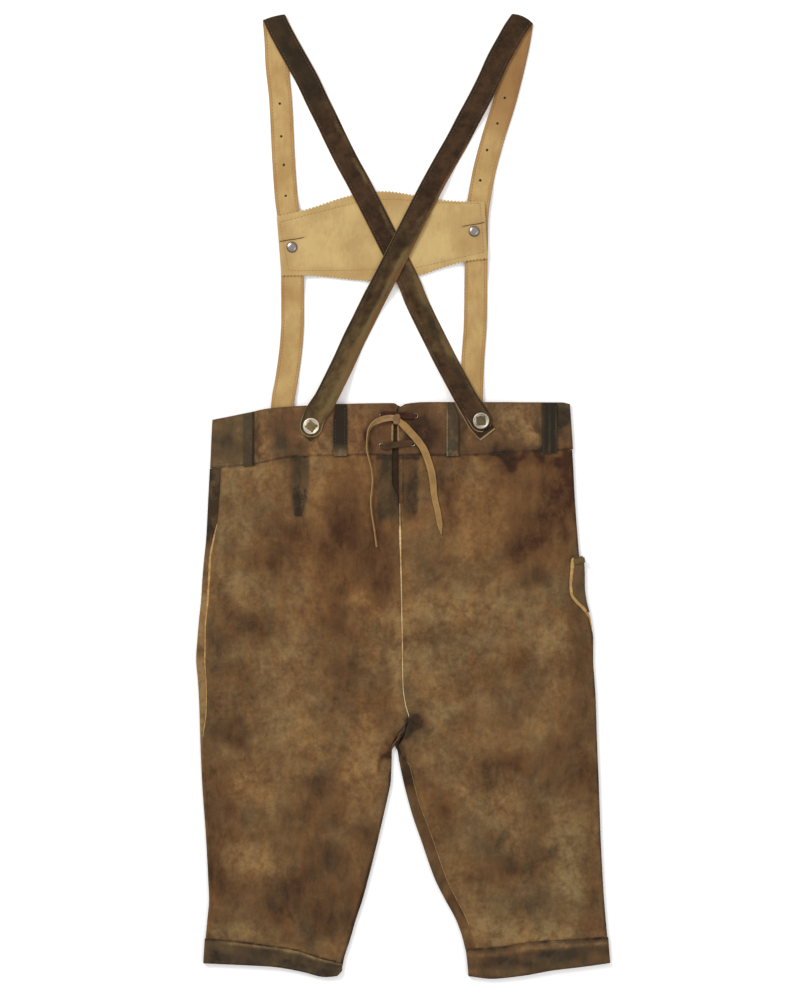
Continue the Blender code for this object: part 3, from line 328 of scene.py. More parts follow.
# Stains and worn places of the suede, and painted shade, shadows and a highlight where
# marked below: x, y, half width, half height, dark, warm, pale and turn; what is left out at
# the end of a row is 0
STAINS_AND_SHADE = (
    (-236, -1, 7, 53, 0.85, -0.4), (-214, 26, 19, 26, 0, -0.4, 0.25),
    (-167, 29, 19, 22, 0, 0.1, 0.35), (-217, -31, 17, 22, 0, -0.5, 0.15),
    (-142, -4, 14, 24, 0.1, 0.2), (-151, -36, 19, 11, 0.28, -0.2), (-190, -49, 22, 12, 0, 0, 0.25),
    (-136, -54, 10, 24, 0.47, 0.1, 0, -40), (-103, 5, 8, 38, 0, 0.3, 0.4),
    (-64, 17, 17, 36, 0.19, 0.7), (-44, 36, 10, 17, 0, 0.5, 0.2), (-84, -37, 18, 22, 0.28, 0.4),
    (-44, -10, 10, 19, 0, 0.5, 0.15), (-52, -61, 31, 22, 0.38, 0.6), (-24, -40, 12, 19, 0.33, 0.4),
    (-23, -104, 17, 26, 0.47, 0.6), (-58, -96, 17, 12, 0.28, 0.6),
    (-49, -121, 17, 8, 0, 0.5, 0.25), (-108, -81, 17, 16, 0, 0.8, 0.1),
    (-174, -79, 17, 11, 0.28, 0.3), (-205, -64, 17, 10, 0.24, -0.4),
    (-190, -109, 29, 22, 0, -0.1, 0.4), (-154, -98, 8, 17, 0.24, 0.1),
    (-124, -110, 22, 14, 0, -0.5, 0.1), (-226, -163, 17, 24, 0.43, 0.08),
    (-174, -154, 36, 13, 0.39, 0.18, 0, -22), (-134, -190, 14, 41, 0, 0.3, 0.4),
    (-80, -142, 12, 34, 0.39, 0.38), (-61, -163, 12, 12, 0.23, 0.48),
    (-70, -211, 13, 17, 0.35, 0.28, 0, 10), (-30, -139, 17, 12, 0, 0.1, 0.35),
    (-37, -184, 17, 22, 0, 0.2, 0.2), (-10, -211, 7, 48, 0, 0, 0.3),
    (-198, -213, 12, 11, 0.27, 0.08), (-169, -196, 22, 14, 0, 0, 0.15),
    (-227, -232, 11, 29, 0.23, 0.08), (-142, -268, 29, 26, 0, 0.2, 0.3),
    (-44, -278, 20, 17, 0, 0.6, 0.4), (-37, -242, 17, 14, 0.1, 0.6),
    (-217, -285, 26, 16, 0.7, 0.18), (-196, -294, 14, 8, 0.35, 0.28),
    # (58, -4) is a painted shadow beside the right lace's free end
    (-18, -264, 10, 17, 0.38, 0.4), (19, -26, 14, 12, 0.1, 0.6), (58, -4, 7, 41, 0.43, 0.2, 0, 16),
    (92, 20, 18, 29, 0, 0.2, 0.4), (71, -19, 10, 36, 0, 0.3, 0.25),
    (113, -10, 14, 14, 0, 0.4, 0.15), (140, 24, 17, 17, 0.14, 0.4), (150, -28, 22, 19, 0.45, 0.6),
    (145, -62, 24, 17, 0.64, 0.6), (179, -10, 22, 36, 0.58, 0.6), (199, 8, 10, 60, 0.51, 0.6),
    (164, -97, 17, 12, 0.71), (145, 48, 31, 8, 0.75, 0.6), (191, 46, 17, 11, 0.42, 0.4),
    (188, -116, 17, 14, 0.1, -1, 0.15), (14, -54, 16, 12, 0.24, -0.5), (35, -80, 29, 8, 0.33, 0.1),
    (20, -108, 17, 11, 0.14, 0.3), (76, -55, 10, 24, 0, 0.2, 0.35),
    (104, -43, 17, 18, 0, 0.5, 0.25), (56, -134, 36, 14, 0, 0.1, 0.45),
    (121, -132, 17, 16, 0, 0.1, 0.25), (73, -156, 22, 8, 0.1, 0.5), (30, -174, 20, 7, 0.31, 0.28),
    (4, -146, 8, 19, 0, 0.3, 0.35), (-1, -202, 8, 31, 0, -0.1, 0.35),
    (172, -170, 22, 19, 0, -0.2, 0.4), (146, -201, 11, 17, 0.31, 0.28),
    (104, -223, 22, 17, 0.19, 0.4), (62, -237, 19, 14, 0.14, 0.6), (32, -228, 13, 13, 0, 0.5, 0.3),
    (14, -247, 13, 14, 0.19, -0.2), (44, -261, 17, 13, 0, -0.4, 0.35),
    (78, -264, 13, 14, 0.23, 0.28), (217, -206, 14, 41, 0.58, 0.18),
    (208, -141, 11, 16, 0.23, 0.48), (152, -247, 19, 22, 0.24), (186, -232, 17, 17, 0, 0, 0.2),
    (186, -288, 22, 14, 0.23, 0.18), (138, -271, 13, 16, 0.23, -0.12),
    (-224, -355, 18, 34, 0.35, 0.38), (-211, -367, 14, 14, 0.23, 0.28),
    (-187, -345, 18, 14, 0, 0.2, 0.5), (-164, -364, 18, 10, 0, 0.1, 0.25),
    (-124, -295, 26, 14, 0, 0.2, 0.2), (-49, -328, 18, 31, 0, 0.5, 0.5),
    (-100, -348, 22, 13, 0.39, 0.38), (-80, -382, 16, 16, 0.39, 0.28),
    (-121, -379, 22, 14, 0.27, 0.28), (-144, -410, 19, 17, 0.14, -0.1),
    (-70, -372, 14, 14, 0, 0.5, 0.1), (-44, -403, 12, 17, 0.43, 0.48),
    (-178, -436, 25, 18, 0, 0.2, 0.6), (-172, -446, 12, 8, 0, 0.1, 0.4),
    (-228, -446, 11, 22, 0.62, 0.18), (-230, -398, 8, 19, 0.47, 0.08),
    (-208, -410, 12, 16, 0.23, 0.68), (-210, -472, 24, 16, 0.43, 0.48),
    (-94, -436, 31, 19, 0.43, 0.18), (-119, -460, 16, 14, 0.39, 0.28),
    (-76, -470, 22, 14, 0.31, 0.58), (-90, -504, 29, 22, 0.51, 0.18),
    (-154, -494, 20, 16, 0.43, 0.18), (-127, -478, 14, 17, 0.24),
    (-190, -522, 36, 8, 0, -0.1, 0.35), (-49, -484, 10, 36, 0.39, 0.28, 0, -15),
    (-217, -502, 17, 8, 0.27, 0.28), (28, -346, 13, 13, 0.27, 0.58),
    (32, -312, 11, 11, 0, -0.1, 0.25), (46, -370, 16, 16, 0.31, 0.58),
    (73, -356, 11, 14, 0, 0.1, 0.6), (104, -339, 11, 16, 0.27, -0.22),
    (140, -319, 31, 13, 0.47, 0.28), (198, -319, 29, 24, 0.43, 0.18),
    (179, -349, 17, 11, 0.35, 0.28), (220, -343, 14, 19, 0.35, 0.28),
    (119, -271, 16, 14, 0.23, 0.28), (155, -280, 16, 13, 0, 0.1, 0.2),
    (218, -271, 19, 22, 0.35, 0.28), (116, -376, 31, 22, 0, 0, 0.4),
    (166, -388, 10, 16, 0.31, 0.28), (80, -403, 29, 14, 0.23, -0.22),
    (52, -386, 11, 14, 0.27, 0.28), (134, -420, 14, 16, 0, 0.2, 0.3),
    (100, -427, 24, 11, 0.19, -0.6), (126, -448, 26, 13, 0.51, 0.28),
    (90, -462, 13, 8, 0.47, 0.58), (164, -427, 12, 20, 0.23, -0.02),
    (194, -412, 16, 29, 0, -0.1, 0.4), (200, -466, 14, 17, 0, -0.4, 0.5),
    (168, -487, 31, 12, 0.43, -0.32), (116, -478, 17, 11, 0.19, -0.4),
    (64, -481, 11, 14, 0.1, -0.1, 0.1), (80, -514, 22, 24, 0, 0.1, 0.25),
    (119, -526, 31, 13, 0, 0, 0.5), (174, -525, 41, 11, 0, -0.1, 0.55),
    (227, -506, 12, 34, 0.27, 0.28), (228, -424, 7, 72, 0.23, 0.38),
    # Painted shade between the legs at the crotch
    (10, -279, 5, 15, 1, 0, 0, -27), (14, -271, 11, 7, 0.6, -0.1),
    # Painted shade and, in the pale row, a painted highlight on the fold beside the crotch
    (-23, -307, 3.6, 11, 1.23, 0.3, 0, -42), (-35, -321, 3.6, 10, 0, 0.2, 0.7, -10),
    # (-29, -319) is painted shade on that fold
    (-29, -319, 3.6, 8, 0.66, 0.2, 0, -10), (217, -99, 14, 31, 0.47, -1),
    (-61, -28, 60, 72, 0, 0.5), (-64, -100, 54, 48, 0, 0.4), (44, -172, 72, 72, 0, -0.2, 0.15),
    (188, -460, 60, 72, 0, -0.35, 0.1), (-212, 60, 16, 16, 0.68, -0.7),
    (-210, 82, 24, 8, 0, -0.7, 0.06), (-168, 68, 11, 22, 0, 0.5, 0.24),
    (-140, 77, 18, 26, 0.41, 0.4), (-140, 57, 17, 10, 0.45, -0.3), (-108, 54, 16, 7, 0, 0.3, 0.42),
    (-53, 77, 17, 24, 0, 0.5, 0.1), (-22, 80, 14, 24, 0.27, 0.7), (11, 86, 19, 29, 0.54, 0.5),
    (32, 68, 14, 17, 0.36, 0.5), (114, 68, 24, 17, 0.23, 0.4), (131, 92, 19, 14, 0, 0.1, 0.24),
    (154, 70, 10, 11, 0, 0.3, 0.49), (196, 92, 7, 14, 0.27, -0.5, 0.14),
    (192, 60, 8, 7, 0, 0.2, 0.42), (92, 53, 12, 6, 0.27, 0.3),
    (152, -556, 58, 8, 0.28, -0.3, 0, 6), (107, -554, 14, 11, 0.09, 0.4),
    (212, -544, 22, 10, 0.12, -0.2, 0, 5), (-196, -556, 41, 10, 0.36, -0.4, 0, -4),
    (-124, -564, 36, 11, 0.32, -0.6, 0, -8), (-124, -546, 36, 4, 0, 0, 0.39, -12),
    (-227, -548, 10, 10, 0.45, 0.3), (-94, -572, 17, 7, 0.45, -0.6), (19, 81, 12, 13, 0.7, 0.6),
    # (-39.2, 66) is a painted shadow inside the left lace's curve, (-176.5, 70) one beside loop 1
    (21, 64, 11, 4, 0.7, 0.2), (-39.2, 66, 3.6, 13, 1.2, 0.9), (-176.5, 70, 2.5, 28, 0.9),
    (-150, 72, 8, 17, 0.3, -0.6), (-133, 66, 10, 6, 0.35), (32, 75, 18, 28, 0.3, 0.6),
    (112, 55, 6, 4, 0.5), (125, 44, 14, 6, 0.35, 0.2), (136, 76, 28, 24, 0, -0.2, 0.25),
    (193, 92, 8, 14, 0.45, -0.6), (166, 74, 4, 24, 0.7), (-56, 76, 12, 22, 0, 0.5, 0.2),
    # (72, 78) is a painted shadow beside belt loop 3
    (72, 78, 4, 24, 0.7), (126, 38, 7, 9, 0.5, 0.3), (190, 18, 24, 34, 0.35, 0.7),
    (120, 10, 60, 50, 0.12, 0.3), (-110, -70, 70, 50, 0.1, 0.1), (191, 95, 9, 16, 0.6, -0.5),
    (-212, 78, 20, 26, 0.22, -0.4), (-1, 74, 4, 9, 0, -0.3, 0.65), (-110, 96, 16, 10, 0.35, 0.3),
    # (13, -285) and (0, -312) are painted shade at the crotch
    (13, -285, 12, 12, 0.4, -0.2), (0, -312, 5, 20, 0.9, 0.2, 0, 12),
    (-70, -16, 36, 46, 0.28, 0.15), (64, -30, 60, 50, 0.12, 0.1), (-90, -214, 60, 50, 0.1, 0.1),
    (-125, -462, 95, 85, 0.17), (130, -425, 80, 70, 0.06), (130, 62, 40, 12, 0.16, 0.1),
    (150, -50, 50, 40, 0.14, 0.3),
)
# and of the chest piece's backing
CHEST_STAINS = (
    (-140, 300, 10, 34, 0.25, 0.2), (95, 318, 9, 30, 0.25, 0.2), (-60, 268, 90, 7, 0.15, 0.3),
    (0, 358, 90, 7, 0.1, 0.3), (-50, 330, 24, 10, 0.18, 0, 0, 40),
    (30, 300, 34, 16, 0, 0, 0.35, 20), (-95, 300, 26, 16, 0, 0, 0.3),
    (-10, 325, 30, 14, 0, 0.1, 0.2, -20), (72, 300, 14, 9, 0.2, 0.1),
    (-30, 285, 20, 8, 0.12, 0.1, 0, 10),
)


# ---------------------------------------------------------------- curves

@lru_cache(maxsize=None)
def curve(table, column):
    """Keys, values and slopes of a smooth curve through a column, without overshoot."""
    rows = sorted(table)
    keys = [row[0] for row in rows]
    values = [row[column] for row in rows]
    secants = [(b - a) / (q - p) for a, b, p, q in zip(values, values[1:], keys, keys[1:])]
    slopes = [secants[0]]
    for before, after in zip(secants, secants[1:]):
        slopes.append(2 * before * after / (before + after) if before * after > 0 else 0.0)
    slopes.append(secants[-1])
    return keys, values, slopes


def read(table, at, column=1):
    """The curve through a table's column, held level past both its ends."""
    keys, values, slopes = curve(table, column)
    at = min(max(at, keys[0]), keys[-1])
    i = min(max(bisect_right(keys, at) - 1, 0), len(keys) - 2)
    span = keys[i + 1] - keys[i]
    t = (at - keys[i]) / span
    s = 1 - t
    return (s * s * (1 + 2 * t) * values[i] + t * s * s * span * slopes[i]
            + t * t * (3 - 2 * t) * values[i + 1] - t * t * s * span * slopes[i + 1])


def ramp(value, start, end):
    """0 at the start and 1 at the end, eased at both."""
    t = min(max((value - start) / (end - start), 0.0), 1.0)
    return t * t * (3 - 2 * t)


def mix(a, b, t):
    return a + (b - a) * t


def hump(value, spread, middle=0):
    """1 at the middle, falling away softly on both sides."""
    return math.exp(-((value - middle) / spread) ** 2)


def noise_at(x, y, z):
    return noise.noise(Vector((x, y, z)))


def steps(start, end, count):
    return [mix(start, end, i / count) for i in range(count + 1)]


BORDER = (0, 0.5, 1.1, 1.9, 3, 4.6)     # places beside an end


def bordered(start, end, count):
    """Places from start to end, closer together beside both ends."""
    way = 1 if end > start else -1
    first = [start + way * step for step in BORDER]
    last = [end - way * step for step in reversed(BORDER)]
    return first + steps(first[-1], last[0], count)[1:-1] + last


def shares(high, count):
    """The same from 0 to 1, down a sheet this high."""
    return [place / high for place in bordered(0, high, count)]


def word(side):
    return "left" if side < 0 else "right"


def column(side):
    """Where a side's numbers are in a row of a table."""
    return 1 if side < 0 else 2


def rise_over(stretches, x):
    """1 over some stretches (left, right, ramp), and 0 away from them."""
    return max(ramp(x, left - soft, left) * ramp(x, right + soft, right)
               for left, right, soft in stretches)


def raised(x, y):
    """How far the strap ends and buttons lift what lies over them."""
    return RAISE * rise_over(RAISED, x) * ramp(y, RAISE_END, RAISE_TOP)


def unevenness(x, y, scales):
    """Sum of soft noises: (height, size, seed) each."""
    return sum(high * noise_at(x / size, y / size, seed) for high, size, seed in scales)


def off_line(x, y, x0, y0, x1, y1):
    """The way to a place from the nearest point of a line."""
    run_x, run_y = x1 - x0, y1 - y0
    along = ((x - x0) * run_x + (y - y0) * run_y) / (run_x * run_x + run_y * run_y)
    along = min(max(along, 0), 1)
    return x - x0 - along * run_x, y - y0 - along * run_y


def folds_at(x, y, folds):
    """Height of long soft folds, each a ridge or a valley along its line."""
    total = 0
    for *line, rise, spread in folds:
        off_x, off_y = off_line(x, y, *line)
        square = off_x ** 2 + off_y ** 2
        if square < 9 * spread * spread:
            total += rise * math.exp(-square / (spread * spread))
    return total


# ---------------------------------------------------------------- meshes

def put(name, made):
    """A bmesh in metres becomes a named object."""
    mesh = bpy.data.meshes.new(name)
    made.to_mesh(mesh)
    made.free()
    piece = bpy.data.objects.new(name, mesh)
    bpy.context.scene.collection.objects.link(piece)
    return piece


def settle(piece, sharp=50):
    """Apply the modifiers and smooth the surface up to its real edges."""
    scene = bpy.context.evaluated_depsgraph_get()
    mesh = bpy.data.meshes.new_from_object(piece.evaluated_get(scene))
    piece.modifiers.clear()
    old = piece.data
    piece.data = mesh
    bpy.data.meshes.remove(old)
    mesh.name = piece.name
    mesh.shade_smooth()
    mesh.set_sharp_from_angle(angle=math.radians(sharp))
    return piece


def walled(piece, thickness, ease, facets):
    """A surface becomes a wall with itself in the middle and its cut edges eased."""
    solid = piece.modifiers.new("Thickness", "SOLIDIFY")
    solid.thickness = thickness * MM
    solid.offset = 0
    bevel = piece.modifiers.new("Eased edges", "BEVEL")
    bevel.width = ease * MM
    bevel.segments = facets
    bevel.limit_method = "ANGLE"
    bevel.angle_limit = math.radians(65)
    return settle(piece)


MARKS = ("dark", "warm", "pale")


def stained_and_shaded(rows, stains_and_shade=STAINS_AND_SHADE, wander=10):
    """How dark, warm and pale each point of a sheet is: stain marks, painted shade and light."""
    places = np.array([[(point.x, point.y) for point in row] for row in rows])
    shift = np.array([[[noise_at(x / 24, y / 24, broad) + 0.6 * noise_at(x / 9, y / 9, fine)
                        for broad, fine in ((0.3, 4.4), (7.3, 9.9))] for x, y in row]
                      for row in places])
    x, y = np.moveaxis(places + wander * shift, 2, 0)
    marks = np.zeros(places.shape[:2] + (3,))
    for at_x, at_y, half_x, half_y, *rest in stains_and_shade:
        *amounts, turn = (*rest, 0, 0, 0)[:4]
        c, s = math.cos(math.radians(turn)), math.sin(math.radians(turn))
        u = ((x - at_x) * c + (y - at_y) * s) / half_x
        v = ((y - at_y) * c - (x - at_x) * s) / half_y
        marks += np.exp(-(u * u + v * v) ** 1.2 * 0.7)[..., None] * amounts
    return marks


def laid(name, rows, thickness, marks=None, ring=False, ease=0.25):
    """A leather wall with its middle on rows of points, and its cut edges eased."""
    across = len(rows[0]) - 1
    down = len(rows) - 1
    made = bmesh.new()
    bmesh.ops.create_grid(made, x_segments=across, y_segments=down, size=1)
    marks = np.zeros((down + 1, across + 1, 3)) if marks is None else marks
    layers = [made.verts.layers.float.new(mark) for mark in MARKS]
    for vert in made.verts:
        place = round((vert.co.x + 1) / 2 * across)
        row = round((vert.co.y + 1) / 2 * down)
        vert.co = rows[row][place] * MM
        for layer, amount in zip(layers, marks[row][place]):
            vert[layer] = amount
    if ring:
        bmesh.ops.remove_doubles(made, verts=made.verts, dist=0.001 * MM)
    return walled(put(name, made), thickness, ease, 2)


def turned(name, section, x, y, base, facets=48, ring=False, tarnish_and_reflection=None):
    """A turned piece: its section (radius, height) from the foot up, spun round a place."""
    made = bmesh.new()
    points = [made.verts.new((radius, 0, high)) for radius, high in section]
    edges = [made.edges.new(pair) for pair in zip(points, points[1:])]
    if ring:
        edges.append(made.edges.new((points[-1], points[0])))
    bmesh.ops.spin(made, geom=points + edges, cent=(0, 0, 0), axis=(0, 0, 1),
                   angle=math.tau, steps=facets, use_merge=True, use_duplicate=False)
    bmesh.ops.remove_doubles(made, verts=made.verts, dist=0.001)
    bmesh.ops.recalc_face_normals(made, faces=made.faces)
    # a darker rim between these radii: on the snap caps it is a painted reflection
    if tarnish_and_reflection:
        dark = made.verts.layers.float.new("dark")
        for vert in made.verts:
            vert[dark] = ramp(vert.co.xy.length, *tarnish_and_reflection)
    bmesh.ops.translate(made, vec=(x, y, base), verts=made.verts)
    bmesh.ops.scale(made, vec=(MM, MM, MM), verts=made.verts)
    return settle(put(name, made), 40)


def rounded(points, radius, count=4):
    """A section's corners replaced by short arcs, as (radius, height) points."""
    done = [points[0]]
    for before, corner, after in zip(points, points[1:], points[2:]):
        before, corner, after = Vector(before), Vector(corner), Vector(after)
        reach = min(radius, (before - corner).length * 0.45, (after - corner).length * 0.45)
        start = corner + (before - corner).normalized() * reach
        end = corner + (after - corner).normalized() * reach
        for k in range(count + 1):
            t = k / count
            done.append(tuple(start.lerp(corner, t).lerp(corner.lerp(end, t), t)))
    done.append(points[-1])
    return done


def skin(made, loops):
    """Faces from each closed loop of vertices to the next."""
    for a, b in zip(loops, loops[1:]):
        for i in range(len(a)):
            j = (i + 1) % len(a)
            made.faces.new((a[i], a[j], b[j], b[i]))


def outlined(name, outline, thickness, base, dome):
    """A flat cut piece inside a closed outline (x, y), its middle raised by a dome."""
    middle = Vector((0, 0))
    for x, y in outline:
        middle += Vector((x, y)) / len(outline)
    made = bmesh.new()
    loops = []
    for k in range(6):
        share = 1 - (k / 6) ** 1.3
        loop = []
        for x, y in outline:
            at = middle.lerp(Vector((x, y)), share)
            high = base + thickness / 2 + dome * (1 - share * share)
            loop.append(made.verts.new((at.x * MM, at.y * MM, high * MM)))
        loops.append(loop)
    skin(made, loops)
    made.faces.new(loops[-1])
    bmesh.ops.recalc_face_normals(made, faces=made.faces)
    return walled(put(name, made), thickness, 0.3, 3)


def welt(name, line, width, heights, ends=2.5, widths=None, rough=0.3):
    """A narrow strip of leather along points (x, y), sunk in its seam, its edges uneven."""
    section = [(math.cos(a), math.sin(a)) for a in steps(0, math.pi, 8)]
    section += [(-0.8, -0.45), (0.8, -0.45)]
    made = bmesh.new()
    loops = []
    length = [0.0]
    for a, b in zip(line, line[1:]):
        length.append(length[-1] + (Vector(b) - Vector(a)).length)
    for i, (x, y) in enumerate(line):
        before = Vector(line[max(i - 1, 0)])
        after = Vector(line[min(i + 1, len(line) - 1)])
        along = (after - before).normalized()
        aside = Vector((along.y, -along.x))
        end = ramp(min(length[i], length[-1] - length[i]), -0.6, ends)
        half = width / 2 * (0.25 + 0.75 * end) * (read(widths, y) if widths else 1)
        half *= 1 + rough * (noise_at(length[i] / 6, 0, width)
                             + 0.8 * noise_at(length[i] / 1.7, 5, width))
        x += 0.25 * rough * noise_at(length[i] / 2.3, 9, width)
        z = heights(x, y)
        loops.append([made.verts.new(((x + aside.x * half * u) * MM, (y + aside.y * half * u) * MM,
                                      (z + half * 0.62 * v) * MM)) for u, v in section])
    skin(made, loops)
    made.faces.new(loops[0])
    made.faces.new(loops[-1])
    bmesh.ops.recalc_face_normals(made, faces=made.faces)
    return settle(put(name, made))


def surface_of(*covers):
    """A function for the highest point of some pieces at (x, y), in millimetres."""
    trees = []
    for piece in covers:
        made = bmesh.new()
        made.from_mesh(piece.data)
        trees.append(BVHTree.FromBMesh(made))
        made.free()

    def top_at(x, y):
        found = [tree.ray_cast(Vector((x * MM, y * MM, 0.1)), Vector((0, 0, -1)))[0]
                 for tree in trees]
        found = [hit.z / MM for hit in found if hit]
        return max(found) if found else None

    return top_at


# ---------------------------------------------------------------- trousers

def row_y(side, level, x):
    """A row bends to the band's foot at the top and to the cuff's seam at the bottom."""
    near_band = ramp(level, NEAR_BAND, BAND_FOOT)
    near_cuff = ramp(level, NEAR_CUFF, CUFF_TOP)
    y = level + near_band * (read(BAND_FEET, x) - BAND_FOOT)
    return y + near_cuff * (read(CUFF_TOPS[side], x) - CUFF_TOP)


def along_row(side, level, table):
    x = read(table, level, column(side))
    for _ in range(2):
        x = read(table, row_y(side, level, x), column(side))
    return x


def outline_x(side, level):
    return along_row(side, level, SIDES)


def inner_x(side, level):
    return along_row(side, level, INNERS)


def side_seam_x(side, level):
    x = outline_x(side, level)
    return x - side * read(SEAMS_IN, row_y(side, level, x), column(side))


def curl_at(level):
    """How far a front panel's inner edge is folded over: not at all above the crotch."""
    return math.pi * ramp(level, CURL_START, CURL_END)


def back_inner_x(side, level):
    """Centre edge of a back panel: slit, centre seam, and then the inseam."""
    if level > SLIT_END:
        return read(SLITS, level) + side * read(SLITS, level, 2)
    centre = read(CENTRES, level) + side * SEAM_GAP
    run = read(INSEAMS, level, column(side))
    leaning = SUEDE / 2 * (1 + math.sin(curl_at(level)))
    inseam = inner_x(side, level) + side * (FOLD + leaning + run + GAP)
    return mix(centre, inseam, ramp(level, CENTRE_END, INSEAM_START))


# Unevenness of the leather: height, size, seed
SWELLS = ((0.42, 78, 1.7), (0.2, 30, 5.2), (0.07, 11, 8.8))
PUCKERS = ((0.3, 5.5, 2.2),)


def leather_height(x, y, from_seam, still, dip):
    """What folds, unevenness and puckered seams add to a panel's flat height."""
    total = (CROWN + folds_at(x, y, DRAPES) + folds_at(x, y, CREASES)) * still
    total += unevenness(x, y, SWELLS) * (0.3 + 0.7 * still)
    total += unevenness(x, y, PUCKERS) * math.exp(-from_seam / 5)
    return total - dip * hump(from_seam, SEAM_REACH)


def quiet(side, outer, level):
    """True where a side seam or an inseam is pressed flat and hardly shows."""
    return side > 0 if outer else side < 0 and level < CURL_END


def seam_step(level):
    """How far a row steps off the band's foot or the cuff's seam."""
    if level >= BAND_FOOT:
        return -SEAM_STEP
    return SEAM_STEP if level <= CUFF_TOP else 0


def seam_dirt(x, y, from_seam):
    """Darkening beside a seam, broken up along it."""
    return hump(from_seam, 1.7) * (0.55 + 0.9 * noise_at(x / 7, y / 7, 6))


def sheet(name, rows, thickness, dirt_and_shading, ring=False):
    """A trousers leather with its stain marks, grime, painted light and shade, and its rows."""
    return laid(name, rows, thickness, stained_and_shaded(rows) + np.array(dirt_and_shading), ring), rows


# y, and the dart's left and right sides
DART = ((52, -136, -112), (30, -135, -112), (5, -133, -114), (-14, -131.5, -118),
        (-24, -130.5, -120), (-29, -130, -120.5))


def dart_shade(x, y):
    """The sewn dart: a dark wedge below the band, sharp at its right side and its point."""
    left, right = read(DART, y), read(DART, y, 2)
    down = ramp(y, -27, -22) * (0.95 + 0.5 * ramp(y, 26, -4))
    ridge = 1 - 0.5 * hump(x, 1.1, -120.5)
    return down * ridge * ramp(x, left - 4, left + 4) * ramp(x, right + 1.5, right - 1.5)


def slit_shade(side, x, y, from_slit):
    """Grease beside the slit, and its rubbed edge on the right: dark, warm and pale."""
    ragged = 2.5 * noise_at(x / 5, y / 7, 12)
    down = ramp(y + 2 * ragged, -36, -22)
    seam = hump(y, 1.1, 46.2) + hump(y, 1.0, 50.4)
    if side < 0:
        strip = ramp(x + ragged, -34, -30.5) * down
        return 0.62 * strip + 0.6 * seam * ramp(x, -34, -30), -0.9 * strip, 0
    strip = ramp(x + ragged, 19.5, 16) * down
    strip *= 0.5 + 0.2 * ramp(x, 3, 8) * ramp(y, 34, 22) if x > 0 else 0.75
    broken = 0.7 + 0.9 * noise_at(y / 5, 0, 31)
    line = hump(from_slit, 0.9, 3.2) * ramp(y, -40, -28) * broken
    folded = ramp(from_slit, 3, 1.6) * ramp(y, -36, -24)
    return (1.1 * strip * (1 - folded) + 0.3 * folded + 0.6 * seam * ramp(x, 23, 20),
            folded - 0.6 * strip, 0.9 * max(line, 0))


def back_panel(side):
    """From the slit, the centre seam and the inseam out to the seam at the side."""
    rows, dirt_and_shading = [], []
    for level in bordered(BAND_FOOT, CUFF_TOP, PANEL_ROWS):
        outer = side_seam_x(side, level) - side * BUTTED
        inner = back_inner_x(side, level)
        if level < CURL_END:
            inner -= side * (GAP - 0.08)
        row, marked = [], []
        for x in bordered(outer, inner, 74):
            y = row_y(side, level, x) + seam_step(level)
            from_edge = min(abs(x - outer), abs(x - inner))
            from_seam = min(from_edge, abs(level - BAND_FOOT), abs(level - CUFF_TOP))
            still = ramp(from_edge, *STILL) * ramp(level, BAND_FOOT, STILL_TOP)
            still *= ramp(level, CUFF_TOP, STILL_FOOT)
            high = TOP_MID + BACK_SHARE * raised(x, y)
            across = min(abs(level - BAND_FOOT), abs(level - CUFF_TOP))
            flat_seam = quiet(side, abs(x - outer) < abs(x - inner), level)
            dip = PRESSED_DIP if flat_seam and from_edge < across else SEAM_DIP
            row.append(Vector((x, y, high + leather_height(x, y, from_seam, still, dip))))
            sewn = seam_dirt(x, y, across)
            sewn += 0.3 * seam_dirt(x, y, from_edge) * (0 if flat_seam else 1)
            dart = dart_shade(x, y)
            dark, warm, pale = slit_shade(side, x, y, abs(x - inner))
            marked.append((sewn + 0.74 * dart + dark, warm - 0.9 * dart, pale))
        rows.append(row)
        dirt_and_shading.append(marked)
    return sheet("back_panel_" + word(side), rows, SUEDE, dirt_and_shading)


def front_inner_x(side, level):
    """Centre edge of a front panel: beside the flap, at the other panel, at the inseam."""
    if level > FLAP_FOOT:
        return FLAP_MIDDLE + side * (read(FLAPS, level) + GAP)
    if level > CURL_START:
        return read(CENTRES, level) + side * BUTTED
    return inner_x(side, level)


def half_turn(tangent, side, low, facets=12):
    """Points (x, z) round a fold from the floor run up to the top run."""
    for k in range(1, facets + 1):
        angle = math.pi * k / facets
        yield tangent + side * FOLD * math.sin(angle), low + FOLD * (1 - math.cos(angle))


def curled(length, curl):
    """A place along a strip that bends up by the curl angle: how far out, and how high."""
    bend = min(length / FOLD, curl)
    rest = length - FOLD * bend
    out = FOLD * math.sin(bend) + rest * math.cos(bend)
    return out, FOLD * (1 - math.cos(bend)) + rest * math.sin(bend)


# Painted shade on the strip beside the right inseam, darkest at the crotch: y, share
STRIP_DARK = ((-540, 0.6), (-505, 0.7), (-470, 0.6), (-430, 0.3), (-400, 0.32), (-350, 0.8),
              (-300, 1.0))


def strip_shade(side, x, y, from_outline, from_inside):
    """Marks of what shows of the front panels: strips at the sides and between the legs.

    The rims where the legs roll over and the strip between the legs are painted shade.
    """
    patchy = 1 + 1.1 * noise_at(x / 9, y / 22, 3)
    if side < 0:
        strip = ramp(x, -180, -205) * ramp(y, -70, -38)
        rubbed = ramp(y, -100, -130) * ramp(y, -330, -260) * ramp(x, -226, -236) * 0.7
        # painted shade where the left leg's inner edge rolls over
        rim = hump(from_inside, 2.6) * ramp(y, -296, -330) * 1.1
        return strip + rim * patchy, -0.3 * strip, rubbed * patchy
    # painted shade along the right leg's outline, where the panel rolls over
    rim = hump(from_outline, 2.2) * 0.9
    strip = ramp(from_inside, 18, 12) * ramp(y, -262, -276)
    strip *= read(STRIP_DARK, y)
    return (rim + strip) * patchy, -0.1 * strip, 0


